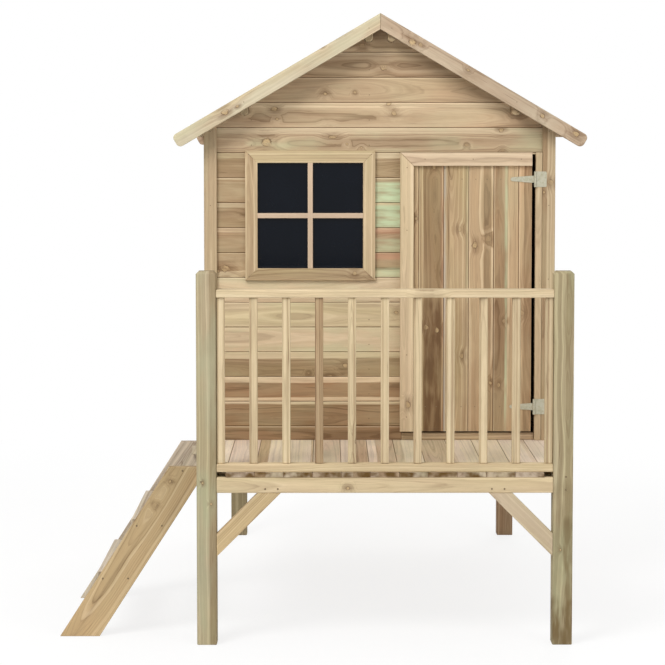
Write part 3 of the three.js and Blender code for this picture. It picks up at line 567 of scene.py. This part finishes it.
def add_wood(g, tones, grain, across, centre, seed, boards=None, rows=None, heart=None, width=50 * MM,
             patches=(), knots=(), end=0.5, tone=1.0, green=0.15, figure=1.0, sway=1.0, late=2.0,
             vary=1.0):
    """One wood's surface. grain and across are directions, and boards is (start, pitch) along across. rows
    gives each board its heartwood (low and high edge as shares of the board), strength and added green.
    patches is (board, (low, high) along the grain in metres, (low, high) across as shares of the board,
    colour, strength). knots is (place along the grain, place across it, size) in mm."""
    grain, across = grain.normalized(), across.normalized()
    texture = g.add("ShaderNodeTexCoord").outputs
    coordinates = texture["Object"]
    place = g.vector("SUBTRACT", coordinates, tuple(centre))
    x, y, z = [g.dot(place, direction) for direction in (grain, across, grain.cross(across))]
    timber = g.add("ShaderNodeGroup", {"node_tree": TIMBER}, Seam=plain_seam, Tone=tone, Green=green,
                   Figure=figure, Sway=sway, Late=late, Vary=vary)
    given = timber.inputs
    for socket, colour in zip(("Sap", "Heart", "Tint"), TONES[tones]):
        g.feed(given[socket], colour)
    facing = g.math("ABSOLUTE", g.dot(texture["Normal"], grain))
    g.feed(given["End"], g.ramp(facing, *end_facing, 0.0, end))
    if boards is None:
        index = None
        share = g.math("DIVIDE", y, width)
        low, high, strength = heart or random_heart(width)
        board = seed
    else:
        start, pitch = boards
        count = g.math("DIVIDE", g.minus(g.dot(coordinates, across), start), pitch)
        index = g.math("FLOOR", count)
        share = g.minus(g.minus(count, index), 0.5)
        y = g.times(share, pitch)
        g.feed(given["Seam"], g.times(g.minus(0.5, g.math("ABSOLUTE", share)), pitch / seam_reach))
        if rows is None:
            rows = [random_heart(1.0) + (0.0,) for number in range(random_row_count)]
        row_place = g.math("DIVIDE", g.plus(index, 0.5), float(len(rows)))
        low, high, strength, more_green = row_values(g, row_place, rows)
        low, high = g.times(low, pitch), g.times(high, pitch)
        g.feed(given["Green"], g.plus(more_green, green))
        board = g.plus(index, seed)
    for socket, value in (("Board", board), ("Low", low), ("High", high), ("Strength", strength)):
        g.feed(given[socket], value)
    if patches:
        uneven = g.noise(g.join(*[g.times(value, scale) for value, scale in zip((x, y, z), stain_scale)]))
        stain, stained = stains(g, patches, uneven, g.dot(coordinates, grain), share, index)
        g.feed(given["Stain"], stain)
        g.feed(given["Stained"], stained)
    g.feed(given["Knot"], nearest_knot(g, knots, coordinates, grain, across, boards, index))
    g.feed(given["Place"], g.join(x, y, z))
    bump = g.add("ShaderNodeBump", Strength=0.6, Distance=bump_depth, Height=timber.outputs["Height"])
    return g.surface(timber.outputs["Colour"], timber.outputs["Roughness"], Specular_IOR_Level=0.3,
                     Normal=bump.outputs[0])


def knots_on(grain, across, places):
    """Knots at (x, z, size) in mm, as places along and across the grain."""
    return [(x * grain[0] + z * grain[2], x * across[0] + z * across[2], size) for x, z, size in places]


def zinc_material():
    """Zinc-plated sheet with its faint bloom."""
    material, g = new_material("zinc")
    coordinates = g.coordinates()
    bloom = g.add("ShaderNodeTexVoronoi", Vector=coordinates, Scale=160.0)
    cloud = g.noise(coordinates, detail=3.0, scale=90.0)
    colour = g.mix(g.eased(cloud, "zinc_cloud"), zinc_warm, zinc_dull)
    colour = g.mix(g.times(bloom.outputs["Distance"], bloom_strength), colour, zinc_bloom)
    bump = g.add("ShaderNodeBump", Strength=0.3, Distance=bump_depth / 4, Height=cloud)
    rough = g.eased(cloud, "zinc_rough")
    g.finish(g.surface(colour, rough, Metallic=0.35, Normal=bump.outputs[0]))
    return material


def nail_material():
    """Dull steel of the nails and screws in the timber."""
    material, g = new_material("nail_steel")
    cloud = g.noise(g.coordinates(), scale=300.0)
    colour = g.mix(g.eased(cloud, "nail_cloud"), nail_dark, nail_pale)
    g.finish(g.surface(colour, g.eased(cloud, "nail_rough"), Metallic=0.6))
    return material


def pane_material():
    """Glossy opaque sheet in front of the cabin: its near-black colour is painted shade for the dark cabin
    behind it, and the faint lines of the boards behind it are painted on.
    """
    material, g = new_material("pane")
    coordinates = g.coordinates()
    height = g.split(coordinates)["Z"]
    share = g.math("FRACT", g.math("DIVIDE", g.minus(height, pane_line_height), pane_line_pitch))
    line = g.math("ABSOLUTE", g.minus(share, 0.5))
    cloud = g.noise(coordinates, scale=7.0)
    colour = g.mix(g.eased(line, "pane_line"), g.mix(cloud, pane_black, pane_blue), pane_line_colour)
    bump = g.add("ShaderNodeBump", Strength=0.15, Distance=bump_depth, Height=cloud)
    rough = g.eased(cloud, "pane_rough")
    g.finish(g.surface(colour, rough, IOR=1.33, Specular_IOR_Level=0.3, Normal=bump.outputs[0]))
    return material


def smoothing_group():
    """Smooth shading over the rounded edges of the timber, and sharp corners elsewhere."""
    tree = bpy.data.node_groups.new("smooth_round_edges", "GeometryNodeTree")
    for direction in ("INPUT", "OUTPUT"):
        tree.interface.new_socket(name="Geometry", in_out=direction, socket_type="NodeSocketGeometry")
    g = Graph(tree)
    given = tree.nodes.new("NodeGroupInput").outputs[0]
    merged = g.add("GeometryNodeMergeByDistance", Geometry=given, Distance=merge_distance).outputs[0]
    faces = g.add("GeometryNodeSetShadeSmooth", {"domain": "FACE"}, Geometry=merged, Shade_Smooth=True)
    angle = g.add("GeometryNodeInputMeshEdgeAngle").outputs[0]
    soft = g.math("LESS_THAN", angle, smooth_angle)
    edges = g.add("GeometryNodeSetShadeSmooth", {"domain": "EDGE"}, Geometry=faces.outputs[0],
                  Shade_Smooth=soft)
    g.feed(tree.nodes.new("NodeGroupOutput").inputs[0], edges.outputs[0])
    return tree


SMOOTHING = smoothing_group()
SEEDS = iter(seed_step * number for number in range(1, 100))


def new_object(name, data):
    piece = bpy.data.objects.new(name, data)
    bpy.context.scene.collection.objects.link(piece)
    return piece


def smooth(piece):
    modifier = piece.modifiers.new("smooth_round_edges", "NODES")
    modifier.node_group = SMOOTHING


def dress(node, material):
    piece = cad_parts[node]
    piece.data.materials.clear()
    piece.data.materials.append(material)
    smooth(piece)


def middle(node):
    low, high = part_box(node)
    return (Vector(low) + Vector(high)) / 2


def face_of(node, side):
    """Where the piece ends to the left, right, front or rear."""
    low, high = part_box(node)
    end = high if side in ("right", "rear") else low
    return end[0] if side in SIGNS else end[1]


def dress_timber(node, tones, grain, across, **look):
    low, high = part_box(node)
    spans = sorted(b - a for a, b in zip(low, high))
    look.setdefault("width", spans[1])
    material, g = new_material(f"wood_{node}")
    g.finish(add_wood(g, tones, grain, across, middle(node), next(SEEDS), **look))
    dress(node, material)


# Platform
FRONT_POSTS = {
    "left": {
        "heart": (12 * MM, 50 * MM, 0.7), "tone": 0.98, "figure": 0.5,
        "knots": [(488, -411, 5), (560, -440, 5)],
        "patches": [
            (None, (0.3, 0.6), (-0.7, 0.1), post_green, 0.28),
            (None, (1.0, 1.35), (-0.7, 0.7), foot_brown, 0.15),
        ],
    },
    "right": {
        "heart": (4 * MM, 30 * MM, 0.5), "figure": 1.2, "sway": 1.8,
        "knots": [(330, 783, 5)],
        "patches": [
            (None, (0.16, 0.56), (-0.7, 0.7), foot_brown, 0.34),
            (None, (0.12, 0.45), (0.0, 0.7), foot_brown, 0.75),
            (None, (-0.1, 0.17), (-0.55, 0.7), foot_brown, 1.0),
        ],
    },
}
# The rear posts' darker tones are painted shade under the platform
REAR_TONES = {"left": "post_painted_shade", "right": "post_brown_painted_shade"}
for side in SIGNS:
    dress_timber(f"front_post_{side}", "post", AXIS_Z, AXIS_X, green=0.5, **FRONT_POSTS[side])
    dress_timber(f"rear_post_{side}", REAR_TONES[side], AXIS_Z, AXIS_X)
dress_timber("front_beam", "beam", AXIS_X, AXIS_Z, heart=all_sapwood, tone=0.98, knots=[(56, 542, 7)])
# Painted shade: this joist, seen through the notch behind the front post, is darkened to stand for the
# shadow there
dress_timber("floor_joist_veranda", "beam", AXIS_X, AXIS_Z, tone=0.45)
for node in ("rear_beam", "floor_joist_front", "floor_joist_rear"):
    dress_timber(node, "beam", AXIS_X, AXIS_Z)
for node in ("left_beam", "right_beam"):
    dress_timber(node, "beam", AXIS_Y, AXIS_Z)
BRACES = {
    "left": {"tones": "ladder", "heart": (-24 * MM, 2 * MM, 0.3), "figure": 2.2},
    "right": {"tones": "barge", "heart": all_sapwood, "figure": 0.3, "tone": 0.835},
}
for side, sign in SIGNS.items():
    grain = Vector((-sign * math.cos(brace_angle), 0, math.sin(brace_angle)))
    across = Vector((sign * math.sin(brace_angle), 0, math.cos(brace_angle)))
    dress_timber(f"front_brace_{side}", grain=grain, across=across, sway=0.3, late=4.0, **BRACES[side])
deck_low, deck_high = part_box("deck")
deck_pitch = (deck_high[0] - deck_low[0]) / deck_board_count
DECK_SHARES = [  # of each board from the ladder's side: heartwood's edges, its strength, added green
    (0.0, 0.0, 0.0, 0.0),
    (0.0, 0.0, 0.0, 0.0),
    (-0.6, -0.1, 0.8, 0.0),
    (0.4, 0.6, 0.6, 0.0),
    (-0.6, 0.6, 0.4, 0.4),
    (-0.1, 0.6, 0.75, 0.1),
    (-0.2, 0.6, 0.65, 0.2),
    (-0.6, -0.2, 0.5, 0.3),
    (-0.6, 0.6, 0.5, 0.0),
    (-0.6, -0.3, 0.3, 0.0),
    (0.0, 0.0, 0.0, 0.0),
    (0.3, 0.6, 0.3, 0.1),
    (0.0, 0.0, 0.0, 0.0),
]
DECK_PATCHES = [(10, (-1.2, 0.0), (-0.6, 0.6), pale_wood_and_highlight, 0.45)]
dress_timber("deck", "deck", AXIS_Y, AXIS_X, boards=(deck_low[0], deck_pitch), end=1.0,
             figure=0.8, green=0.1, tone=1.03, rows=DECK_SHARES, patches=DECK_PATCHES)

# Balustrade
dress_timber("upper_rail", "rail", AXIS_X, AXIS_Y, heart=(-5 * MM, 12 * MM, 0.15), tone=0.93, vary=0.4)
dress_timber("lower_rail", "rail", AXIS_X, AXIS_Y, heart=(-60 * MM, -14 * MM, 0.3), vary=0.5)
brown_baluster = 3
plain_baluster_shade = 0.925
BALUSTER_SHADES = {1: 0.87, 7: 0.91, 8: 0.9, 9: 0.895}
stripe_reach = 10  # how far from its middle a baluster's dark stripe may lie, in mm
stripe_halves = (1, 4)
balusters = sorted(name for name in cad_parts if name.startswith("baluster_"))
for number, node in enumerate(balusters):
    if number == brown_baluster:
        look = {"heart": (-20 * MM, 20 * MM, 0.75), "figure": 1.6}
    else:
        stripe = random.uniform(-stripe_reach, stripe_reach) * MM
        half = random.uniform(*stripe_halves) * MM
        look = {"heart": (stripe - half, stripe + half, 0.5), "figure": 1.1, "vary": 0.3,
                "tone": BALUSTER_SHADES.get(number, plain_baluster_shade)}
    dress_timber(node, "rail", AXIS_Z, AXIS_X, **look)

# Ladder
grain = Vector((math.cos(ladder_angle), 0, math.sin(ladder_angle)))
across = Vector((-math.sin(ladder_angle), 0, math.cos(ladder_angle)))
STRINGERS = {
    "front": {"tones": "ladder", "heart": (-60 * MM, 46 * MM, 0.1),
              "knots": knots_on(grain, across, [(-560, 545, 6), (-612, 462, 7)])},
    "rear": {"tones": "tread", "heart": (-60 * MM, 60 * MM, 0.2)},
}
for end, look in STRINGERS.items():
    dress_timber(f"ladder_stringer_{end}", grain=grain, across=across, sway=2.2, figure=1.8, late=7.0,
                 tone=0.97, **look)
for level, shade in (("upper", 1.1), ("lower", 1.01)):
    dress_timber(f"ladder_tread_{level}", "tread", AXIS_Y, AXIS_X, tone=shade)

# Cabin: the walls' boards are counted from below
FRONT_SHARES = [  # of each board: low and high edge of the heartwood, its strength, and added green
    (-0.6, 0.6, 1.0, 0.0),
    (-0.6, 0.4, 1.0, 0.0),
    (-0.3, 0.3, 1.0, 0.0),
    (-0.48, 0.25, 0.8, 0.0),
    (0.0, 0.0, 0.0, 0.5),
    (0.0, 0.0, 0.0, 0.1),
    (0.0, 0.0, 0.0, 0.2),
    (-0.2, 0.6, 0.7, 0.0),
    (-0.6, 0.35, 0.75, 0.1),
    (-0.6, 0.3, 0.75, 0.0),
    (-0.6, 0.45, 0.8, 0.1),
    (-0.6, 0.3, 0.7, 0.0),
    (-0.6, 0.24, 0.5, 0.4),
    (-0.6, 0.3, 0.48, 0.0),
    (-0.6, 0.6, 0.55, 0.0),
    (-0.6, 0.35, 0.6, 0.0),
    (-0.6, 0.6, 0.5, 0.0),
]
FRONT_PATCHES = [
    (10, (0.1, 0.3), (-0.6, 0.3), mint, 0.95),
    (9, (0.1, 0.3), (-0.6, 0.4), mint, 0.9),
    (8, (0.1, 0.3), (0.25, 0.6), copper, 0.7),
    (7, (0.1, 0.3), (0.2, 0.6), copper, 0.75),
    (8, (0.1, 0.3), (-0.6, 0.05), mint, 0.45),
    (7, (0.1, 0.3), (-0.6, -0.1), mint, 0.55),
]
boards_by_window = range(7, 12)
FRONT_PATCHES += [(number, (-0.6, -0.3), (-0.6, 0.6), wall_brown, 0.4) for number in boards_by_window]
FRONT_KNOTS = [
    (-211, 1844, 11), (-202, 1806, 6), (-317, 1834, 7), (-242, 1719, 18), (114, 1699, 5), (-396, 1246, 15),
    (-424, 1236, 8), (216, 1862, 8), (236, 1826, 9), (637, 1764, 9), (507, 1709, 6), (642, 1690, 6),
    (697, 1834, 12), (53, 879, 10), (-84, 851, 5), (245, 1080, 8), (196, 1998, 14), (-20, 1900, 8),
    (90, 1905, 5), (116, 2078, 10), (60, 1712, 5),
]
wall_low, wall_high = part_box("front_wall")
wall_start = wall_low[2] + wall_first_joint - wall_pitch
walls = {"boards": (wall_start, wall_pitch)}
dress_timber("front_wall", "wall", AXIS_X, AXIS_Z, rows=FRONT_SHARES, patches=FRONT_PATCHES,
             knots=FRONT_KNOTS, **walls)
dress_timber("rear_wall", "wall", AXIS_X, AXIS_Z, **walls)
for side in SIGNS:
    dress_timber(f"{side}_wall", "wall", AXIS_Y, AXIS_Z, **walls)
TRIMS = {
    "left": {"tone": 0.96},
    "right": {"knots": [(1569, 822, 10), (1533, 797, 6)]},
}
for end in ENDS:
    for side, look in TRIMS.items():
        dress_timber(f"corner_trim_{end}_{side}", "trim", AXIS_Z, AXIS_X, green=0.3, **look)


# Window
def mitred_wood(node):
    """Two woods on one frame, which meet on its diagonals: level strips and upright strips."""
    material, g = new_material(f"wood_{node}_level")
    centre = middle(node)
    level = add_wood(g, "frame", AXIS_X, AXIS_Z, centre, next(SEEDS), heart=(-0.3, -0.19, 0.55),
                     knots=[(89, 1228, 8), (-302, 1238, 6), (164, 1218, 9)])
    upright = add_wood(g, "frame", AXIS_Z, AXIS_X, centre, next(SEEDS), heart=(-0.24, -0.215, 0.55))
    place = g.split(g.vector("SUBTRACT", g.coordinates(), tuple(centre)))
    aside, above = g.math("ABSOLUTE", place["X"]), g.math("ABSOLUTE", place["Z"])
    glass_half = (face_of(node, "right") - face_of(node, "left")) / 2 - frame_strip
    inside = g.math("LESS_THAN", g.math("MAXIMUM", aside, above), glass_half)
    steep = g.times(g.minus(1.0, inside), g.math("GREATER_THAN", aside, above))
    steep = g.plus(g.times(inside, g.math("LESS_THAN", aside, muntin_half)), steep)
    stained = g.times(inside, muntin_strength)
    for group in [node for node in g.tree.nodes if node.type == "GROUP"]:
        g.feed(group.inputs["Stain"], muntin_rose)
        g.feed(group.inputs["Stained"], stained)
    g.finish(g.mix_shaders(steep, level, upright))
    return material


dress("window_frame", mitred_wood("window_frame"))
dress("window_pane", pane_material())

# Door
dress_timber("door_jamb_strip", "trim", AXIS_Z, AXIS_X, heart=all_sapwood)
dress_timber("door_threshold", "strip", AXIS_X, AXIS_Y, heart=(-0.1, 0.1, 0.55), tone=1.02)
DOOR_SHARES = [  # as on the front wall, counted from the hinges
    (-0.6, 0.3, 0.65, 0.1),
    (-0.1, 0.6, 0.6, 0.2),
    (-0.4, -0.1, 0.65, 0.1),
    (0.25, 0.36, 0.3, 0.1),
    (-0.44, 0.32, 0.66, 0.0),
    (-0.3, 0.2, 0.9, 0.0),
]
DOOR_PATCHES = [
    (None, (0.5, 1.13), (-0.6, 0.6), door_brown, 0.24),
    (4, (0.5, 1.13), (-0.42, 0.3), door_dark, 0.9),
    (3, (0.5, 1.8), (-0.6, -0.4), mint, 0.2),
    (1, (0.5, 1.8), (-0.03, 0.02), mint, 0.9),
    (3, (0.5, 1.8), (0.42, 0.6), pale_blue, 0.9),
    (4, (0.5, 1.8), (-0.6, -0.4), copper, 0.5),
]
DOOR_KNOTS = [
    (1394, -482, 9), (1333, -538, 12), (1358, -591, 10), (1627, -386, 9), (1434, -319, 7), (1013, -399, 10),
    (1026, -358, 10), (917, -491, 9), (807, -632, 8), (815, -600, 7), (1080, -715, 11), (1050, -650, 7),
]
door_low, door_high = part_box("door_leaf")
door_start = -door_high[0] + door_first_joint - wall_pitch
dress_timber("door_leaf", "door", AXIS_Z, -AXIS_X, rows=DOOR_SHARES, patches=DOOR_PATCHES,
             knots=DOOR_KNOTS, figure=1.35, sway=1.3, boards=(door_start, wall_pitch))
dress_timber("door_top_strip", "strip", AXIS_X, AXIS_Z, heart=all_sapwood, tone=0.91, vary=0.5)
dress_timber("door_side_strip", "strip", AXIS_Z, AXIS_X, heart=all_sapwood, tone=1.02,
             knots=[(735, 290, 12)])
ZINC = zinc_material()
NAIL = nail_material()
for part in ("plate", "strap"):
    for level in LEVELS:
        dress(f"hinge_{part}_{level}", ZINC)


# Roof
def slope(side):
    """Directions on one side of the roof: down the slope, and out of it."""
    sign = SIGNS[side]
    down = Vector((sign * math.cos(roof_angle), 0, -math.sin(roof_angle)))
    out = Vector((sign * math.sin(roof_angle), 0, math.cos(roof_angle)))
    return down, out


BARGES = {
    "left": {"heart": (-0.03, 0.0, 0.3), "tone": 0.99, "green": 0.6},
    "right": {"heart": (-0.06, 0.02, 0.6), "tone": 0.93, "green": 0.3},
}
BARGE_KNOTS = {
    "left": [(-391, 1829, 13), (-345, 1852, 6), (-30, 2071, 5)],
    "right": [(300, 2087, 14), (330, 2077, 8), (505, 1985, 6), (780, 1816, 10), (905, 1750, 12)],
}
BARGE_PATCHES = {"left": [], "right": [(None, (-0.59, -0.51), (-0.6, 0.6), barge_brown, 0.5)]}
for side, look in BARGES.items():
    down, out = slope(side)
    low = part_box(f"roof_{side}")[0]
    dress_timber(f"roof_{side}", "roof", down, AXIS_Y, boards=(low[1] - wall_pitch / 2, wall_pitch))
    marks = {"patches": BARGE_PATCHES[side], "knots": knots_on(down, out, BARGE_KNOTS[side])}
    for end, more in (("front", marks), ("rear", {})):
        dress_timber(f"barge_{end}_{side}", "barge", down, out, width=barge_width, figure=1.2, late=4.0,
                     **look, **more)
    for row in PURLIN_ROWS:
        # Painted shade: the purlins are darkened to stand for the shade under the barge boards
        dress_timber(f"purlin_{row}_{side}", "beam", AXIS_Y, AXIS_Z, tone=0.74)

# Screws and nails
HEAD_RINGS = {  # radius and height of a head's rings in mm, from its rim to its middle
    "screw": [(3.5, 0.0), (3.3, 0.5), (2.8, 0.7), (1.6, 0.65), (1.3, 0.2)],
    "nail": [(1.9, 0.0), (1.7, 0.3), (1.1, 0.45)],
}
head_sides = 10
edge_inset = 14 * MM


def add_heads(name, body, kind, material, places):
    """One mesh with a head at each (point, outward direction)."""
    work = bmesh.new()
    for point, outward in places:
        turn = outward.to_track_quat("Z", "Y").to_matrix().to_4x4()
        turn = Matrix.Translation(point) @ turn @ Matrix.Rotation(random.uniform(0, math.tau), 4, "Z")
        rings = []
        for radius, height in HEAD_RINGS[kind]:
            ring = []
            for step in range(head_sides):
                angle = math.tau * step / head_sides
                local = Vector((radius * math.cos(angle), radius * math.sin(angle), height)) * MM
                ring.append(work.verts.new(turn @ local))
            rings.append(ring)
        for lower, upper in zip(rings, rings[1:]):
            for step in range(head_sides):
                after = (step + 1) % head_sides
                work.faces.new((lower[step], lower[after], upper[after], upper[step]))
        work.faces.new(rings[-1])
        work.faces.new(list(reversed(rings[0])))
    mesh = bpy.data.meshes.new(name)
    work.to_mesh(mesh)
    work.free()
    mesh.materials.append(material)
    piece = new_object(name, mesh)
    smooth(piece)
    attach(piece, body)


def put(places, x, y, z, side):
    """Adds the place of a head that faces the given side."""
    places.append((Vector((x, y, z)), OUTWARD[side]))


def spread(low, high, count, inset):
    """count places from low to high, inset from both ends."""
    return [low + inset + (high - low - 2 * inset) * step / (count - 1) for step in range(count)]


# Screws of the front posts, the front beam and the side beams
POST_SCREWS = {"left": (15.5 * MM, (564 * MM,)), "right": (24.8 * MM, (536 * MM, 581 * MM))}
brace_screw_places = (166 * MM, 209 * MM)  # in the beam above a brace's head, from the post
screws = []
for side, sign in SIGNS.items():
    post_front, post_side = face_of(f"front_post_{side}", "front"), face_of(f"front_post_{side}", side)
    inset, heights = POST_SCREWS[side]
    for z in heights:
        put(screws, post_side - sign * inset, post_front, z, "front")
        put(screws, post_side, post_front + edge_inset, z, side)
    for rail in ("upper_rail", "lower_rail"):
        put(screws, post_side, middle(rail).y, middle(rail).z, side)
    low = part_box("front_beam")[0]
    for place in brace_screw_places:
        x = face_of(f"front_brace_{side}", side) - sign * place
        put(screws, x, low[1], low[2] + edge_inset, "front")
    low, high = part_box(f"{side}_beam")
    for y in (low[1] + edge_inset, middle("floor_joist_front").y, middle("floor_joist_rear").y,
              high[1] - edge_inset):
        for z in spread(low[2], high[2], 2, edge_inset):
            put(screws, face_of(f"{side}_beam", side), y, z, side)

# Ladder: each stringer is screwed to the treads' ends
for end in ENDS:
    y = face_of(f"ladder_stringer_{end}", end)
    for level in LEVELS:
        tread = f"ladder_tread_{level}"
        for x in spread(face_of(tread, "left"), face_of(tread, "right"), 2, 1.5 * edge_inset):
            put(screws, x, y, middle(tread).z - edge_inset / 2, end)
    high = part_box(f"ladder_stringer_{end}")[1]
    put(screws, high[0] - 4 * edge_inset, y, high[2] - edge_inset, end)
add_heads("screws_house", "house", "screw", NAIL, screws)

# Nails of the window frame and the barge boards
frame_low, frame_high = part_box("window_frame")
nails = []
for x in spread(frame_low[0], frame_high[0], 2, edge_inset):
    for z in spread(frame_low[2], frame_high[2], 2, edge_inset):
        put(nails, x, frame_low[1], z, "front")
for end in ENDS:
    for side in SIGNS:
        barge = f"barge_{end}_{side}"
        for row in PURLIN_ROWS:
            x = middle(f"purlin_{row}_{side}").x
            drop = abs(x - face_of(barge, OPPOSITE[side])) * math.tan(roof_angle)
            put(nails, x, face_of(barge, end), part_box(barge)[1][2] - drop - 2.2 * edge_inset, end)

# Nails of the wall boards and the corner trims
nail_rise_share = 0.3  # of the pitch, from a board's lower edge
nail_heights = [wall_start + wall_pitch * (number + nail_rise_share)
                for number in range(1, len(FRONT_SHARES) + 1)]


def under_roof(x, z):
    drop = abs(x - face_of("roof_left", "right")) * math.tan(roof_angle)
    return z < wall_high[2] - drop - edge_inset


for x in (frame_low[0] + frame_strip / 2, frame_high[0] - frame_strip / 2):
    for z in nail_heights:
        by_window = frame_low[2] - edge_inset < z < frame_high[2] + edge_inset
        if under_roof(x, z) and not by_window:
            put(nails, x, wall_low[1], z, "front")
for x in spread(face_of("rear_wall", "left"), face_of("rear_wall", "right"), 3, 5 * edge_inset):
    for z in nail_heights:
        if under_roof(x, z):
            put(nails, x, face_of("rear_wall", "rear"), z, "rear")
for side in SIGNS:
    low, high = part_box(f"{side}_wall")
    for y in spread(low[1], high[1], 3, 3 * edge_inset):
        for z in nail_heights:
            if z < high[2] - 2 * edge_inset:
                put(nails, face_of(f"{side}_wall", side), y, z, side)
    for end in ENDS:
        trim = f"corner_trim_{end}_{side}"
        low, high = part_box(trim)
        for z in spread(low[2], high[2], 5, 4 * edge_inset):
            put(nails, middle(trim).x, face_of(trim, end), z, end)
            put(nails, face_of(trim, side), middle(trim).y, z, side)

# Nails of the roof boards, on the purlins, and of the deck boards inside the cabin
for side in SIGNS:
    down, out = slope(side)
    low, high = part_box(f"roof_{side}")
    apex = Vector((face_of(f"roof_{side}", OPPOSITE[side]), 0, high[2]))
    y = low[1] + wall_pitch / 4
    while y < high[1] - edge_inset / 2:
        for row in PURLIN_ROWS:
            run = abs(middle(f"purlin_{row}_{side}").x - apex.x) / math.cos(roof_angle)
            point = apex + down * run
            nails.append((Vector((point.x, y, point.z)), out))
        y += wall_pitch / 2
for number in range(1, deck_board_count - 1):
    x = deck_low[0] + deck_pitch * (number + 0.5)
    for y in (middle("floor_joist_rear").y, middle("rear_beam").y - 5 * edge_inset):
        put(nails, x, y, deck_high[2], "top")
add_heads("nails_house", "house", "nail", NAIL, nails)

# Nails of the door, through its boards into the ledges and through the cover strips
door_nails = []
for number in range(1, len(DOOR_SHARES) - 1):
    x = door_high[0] - door_first_joint - wall_pitch * (number - 0.5)
    for level in ("lower", "upper"):
        for aside in (-1.5 * edge_inset, 1.5 * edge_inset):
            put(door_nails, x + aside, door_low[1], middle(f"hinge_strap_{level}").z, "front")
low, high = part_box("door_side_strip")
for z in spread(low[2], high[2], 5, 4 * edge_inset):
    put(door_nails, middle("door_side_strip").x, low[1], z, "front")
top_low, top_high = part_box("door_top_strip")
for x in spread(high[0], top_high[0], 3, 3 * edge_inset):
    put(door_nails, x, top_low[1], middle("door_top_strip").z, "front")
add_heads("nails_door", "door", "nail", NAIL, door_nails)

# Screws of the hinges
strap_screws = []
plate_screws = []
sheet = door_low[1] - strap_sheet
for level in LEVELS:
    strap, plate = f"hinge_strap_{level}", f"hinge_plate_{level}"
    for x in spread(face_of(strap, "left"), face_of(strap, "right"), 3, 1.3 * edge_inset):
        put(strap_screws, x, sheet, middle(strap).z, "front")
    low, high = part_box(plate)
    for z in (high[2] - edge_inset, low[2] + edge_inset):
        put(plate_screws, high[0] - edge_inset, sheet, z, "front")
    put(plate_screws, high[0] - 1.9 * edge_inset, sheet, middle(plate).z, "front")
add_heads("screws_straps", "door", "screw", ZINC, strap_screws)
add_heads("screws_plates", "house", "screw", ZINC, plate_screws)


# Floor, light and camera
def seen_rays(g):
    """1 for rays that show a thing to the camera, directly or through a gloss or a clear sheet."""
    path = g.add("ShaderNodeLightPath").outputs
    mirrored = g.math("MAXIMUM", path["Is Glossy Ray"], path["Is Transmission Ray"])
    return g.math("MAXIMUM", path["Is Camera Ray"], mirrored)


def floor_material():
    """A pale floor that turns white to the camera away from the object."""
    material, g = new_material("floor")
    coordinates = g.coordinates()
    colour = g.mix(g.noise(coordinates, scale=3.0), floor_grey, floor_pale)
    matt = g.surface(colour, 0.9, Specular_IOR_Level=0.1)
    glow = g.add("ShaderNodeEmission", Strength=1.0, Color=white).outputs[0]
    far = g.ramp(g.vector("LENGTH", coordinates), shadow_reach, shadow_end, floor_white, 1.0)
    g.finish(g.mix_shaders(g.times(seen_rays(g), far), matt, glow))
    return material


floor_mesh = bpy.data.meshes.new("floor")
corners = [(x * floor_reach, y * floor_reach, 0) for x, y in ((-1, -1), (1, -1), (1, 1), (-1, 1))]
floor_mesh.from_pydata(corners, [], [(0, 1, 2, 3)])
floor_mesh.materials.append(floor_material())
floor = new_object("floor", floor_mesh)

world = bpy.data.worlds.new("studio")
bpy.context.scene.world = world
world.use_nodes = True
world.node_tree.nodes.clear()
g = Graph(world.node_tree)
strength = g.times_plus(seen_rays(g), 1 - world_strength, world_strength)
light = g.add("ShaderNodeBackground", Strength=strength, Color=white)
g.add("ShaderNodeOutputWorld", Surface=light.outputs[0])

for name, (place, size, power) in LAMPS.items():
    data = bpy.data.lights.new(name, "AREA")
    data.shape = "DISK"
    data.size = size
    data.energy = power
    lamp = new_object(name, data)
    lamp.location = place
    lamp.rotation_euler = (Vector(lamp_aim) - Vector(place)).to_track_quat("-Z", "Y").to_euler()

camera_data = bpy.data.cameras.new("camera")
camera_data.lens = camera_lens
camera_data.sensor_width = camera_sensor
camera_data.shift_y = camera_shift
camera = new_object("camera", camera_data)
camera.location = camera_place
camera.rotation_euler = Euler((math.pi / 2 - camera_pitch, 0, camera_yaw))
bpy.context.scene.camera = camera
bpy.context.scene.view_settings.view_transform = "Standard"
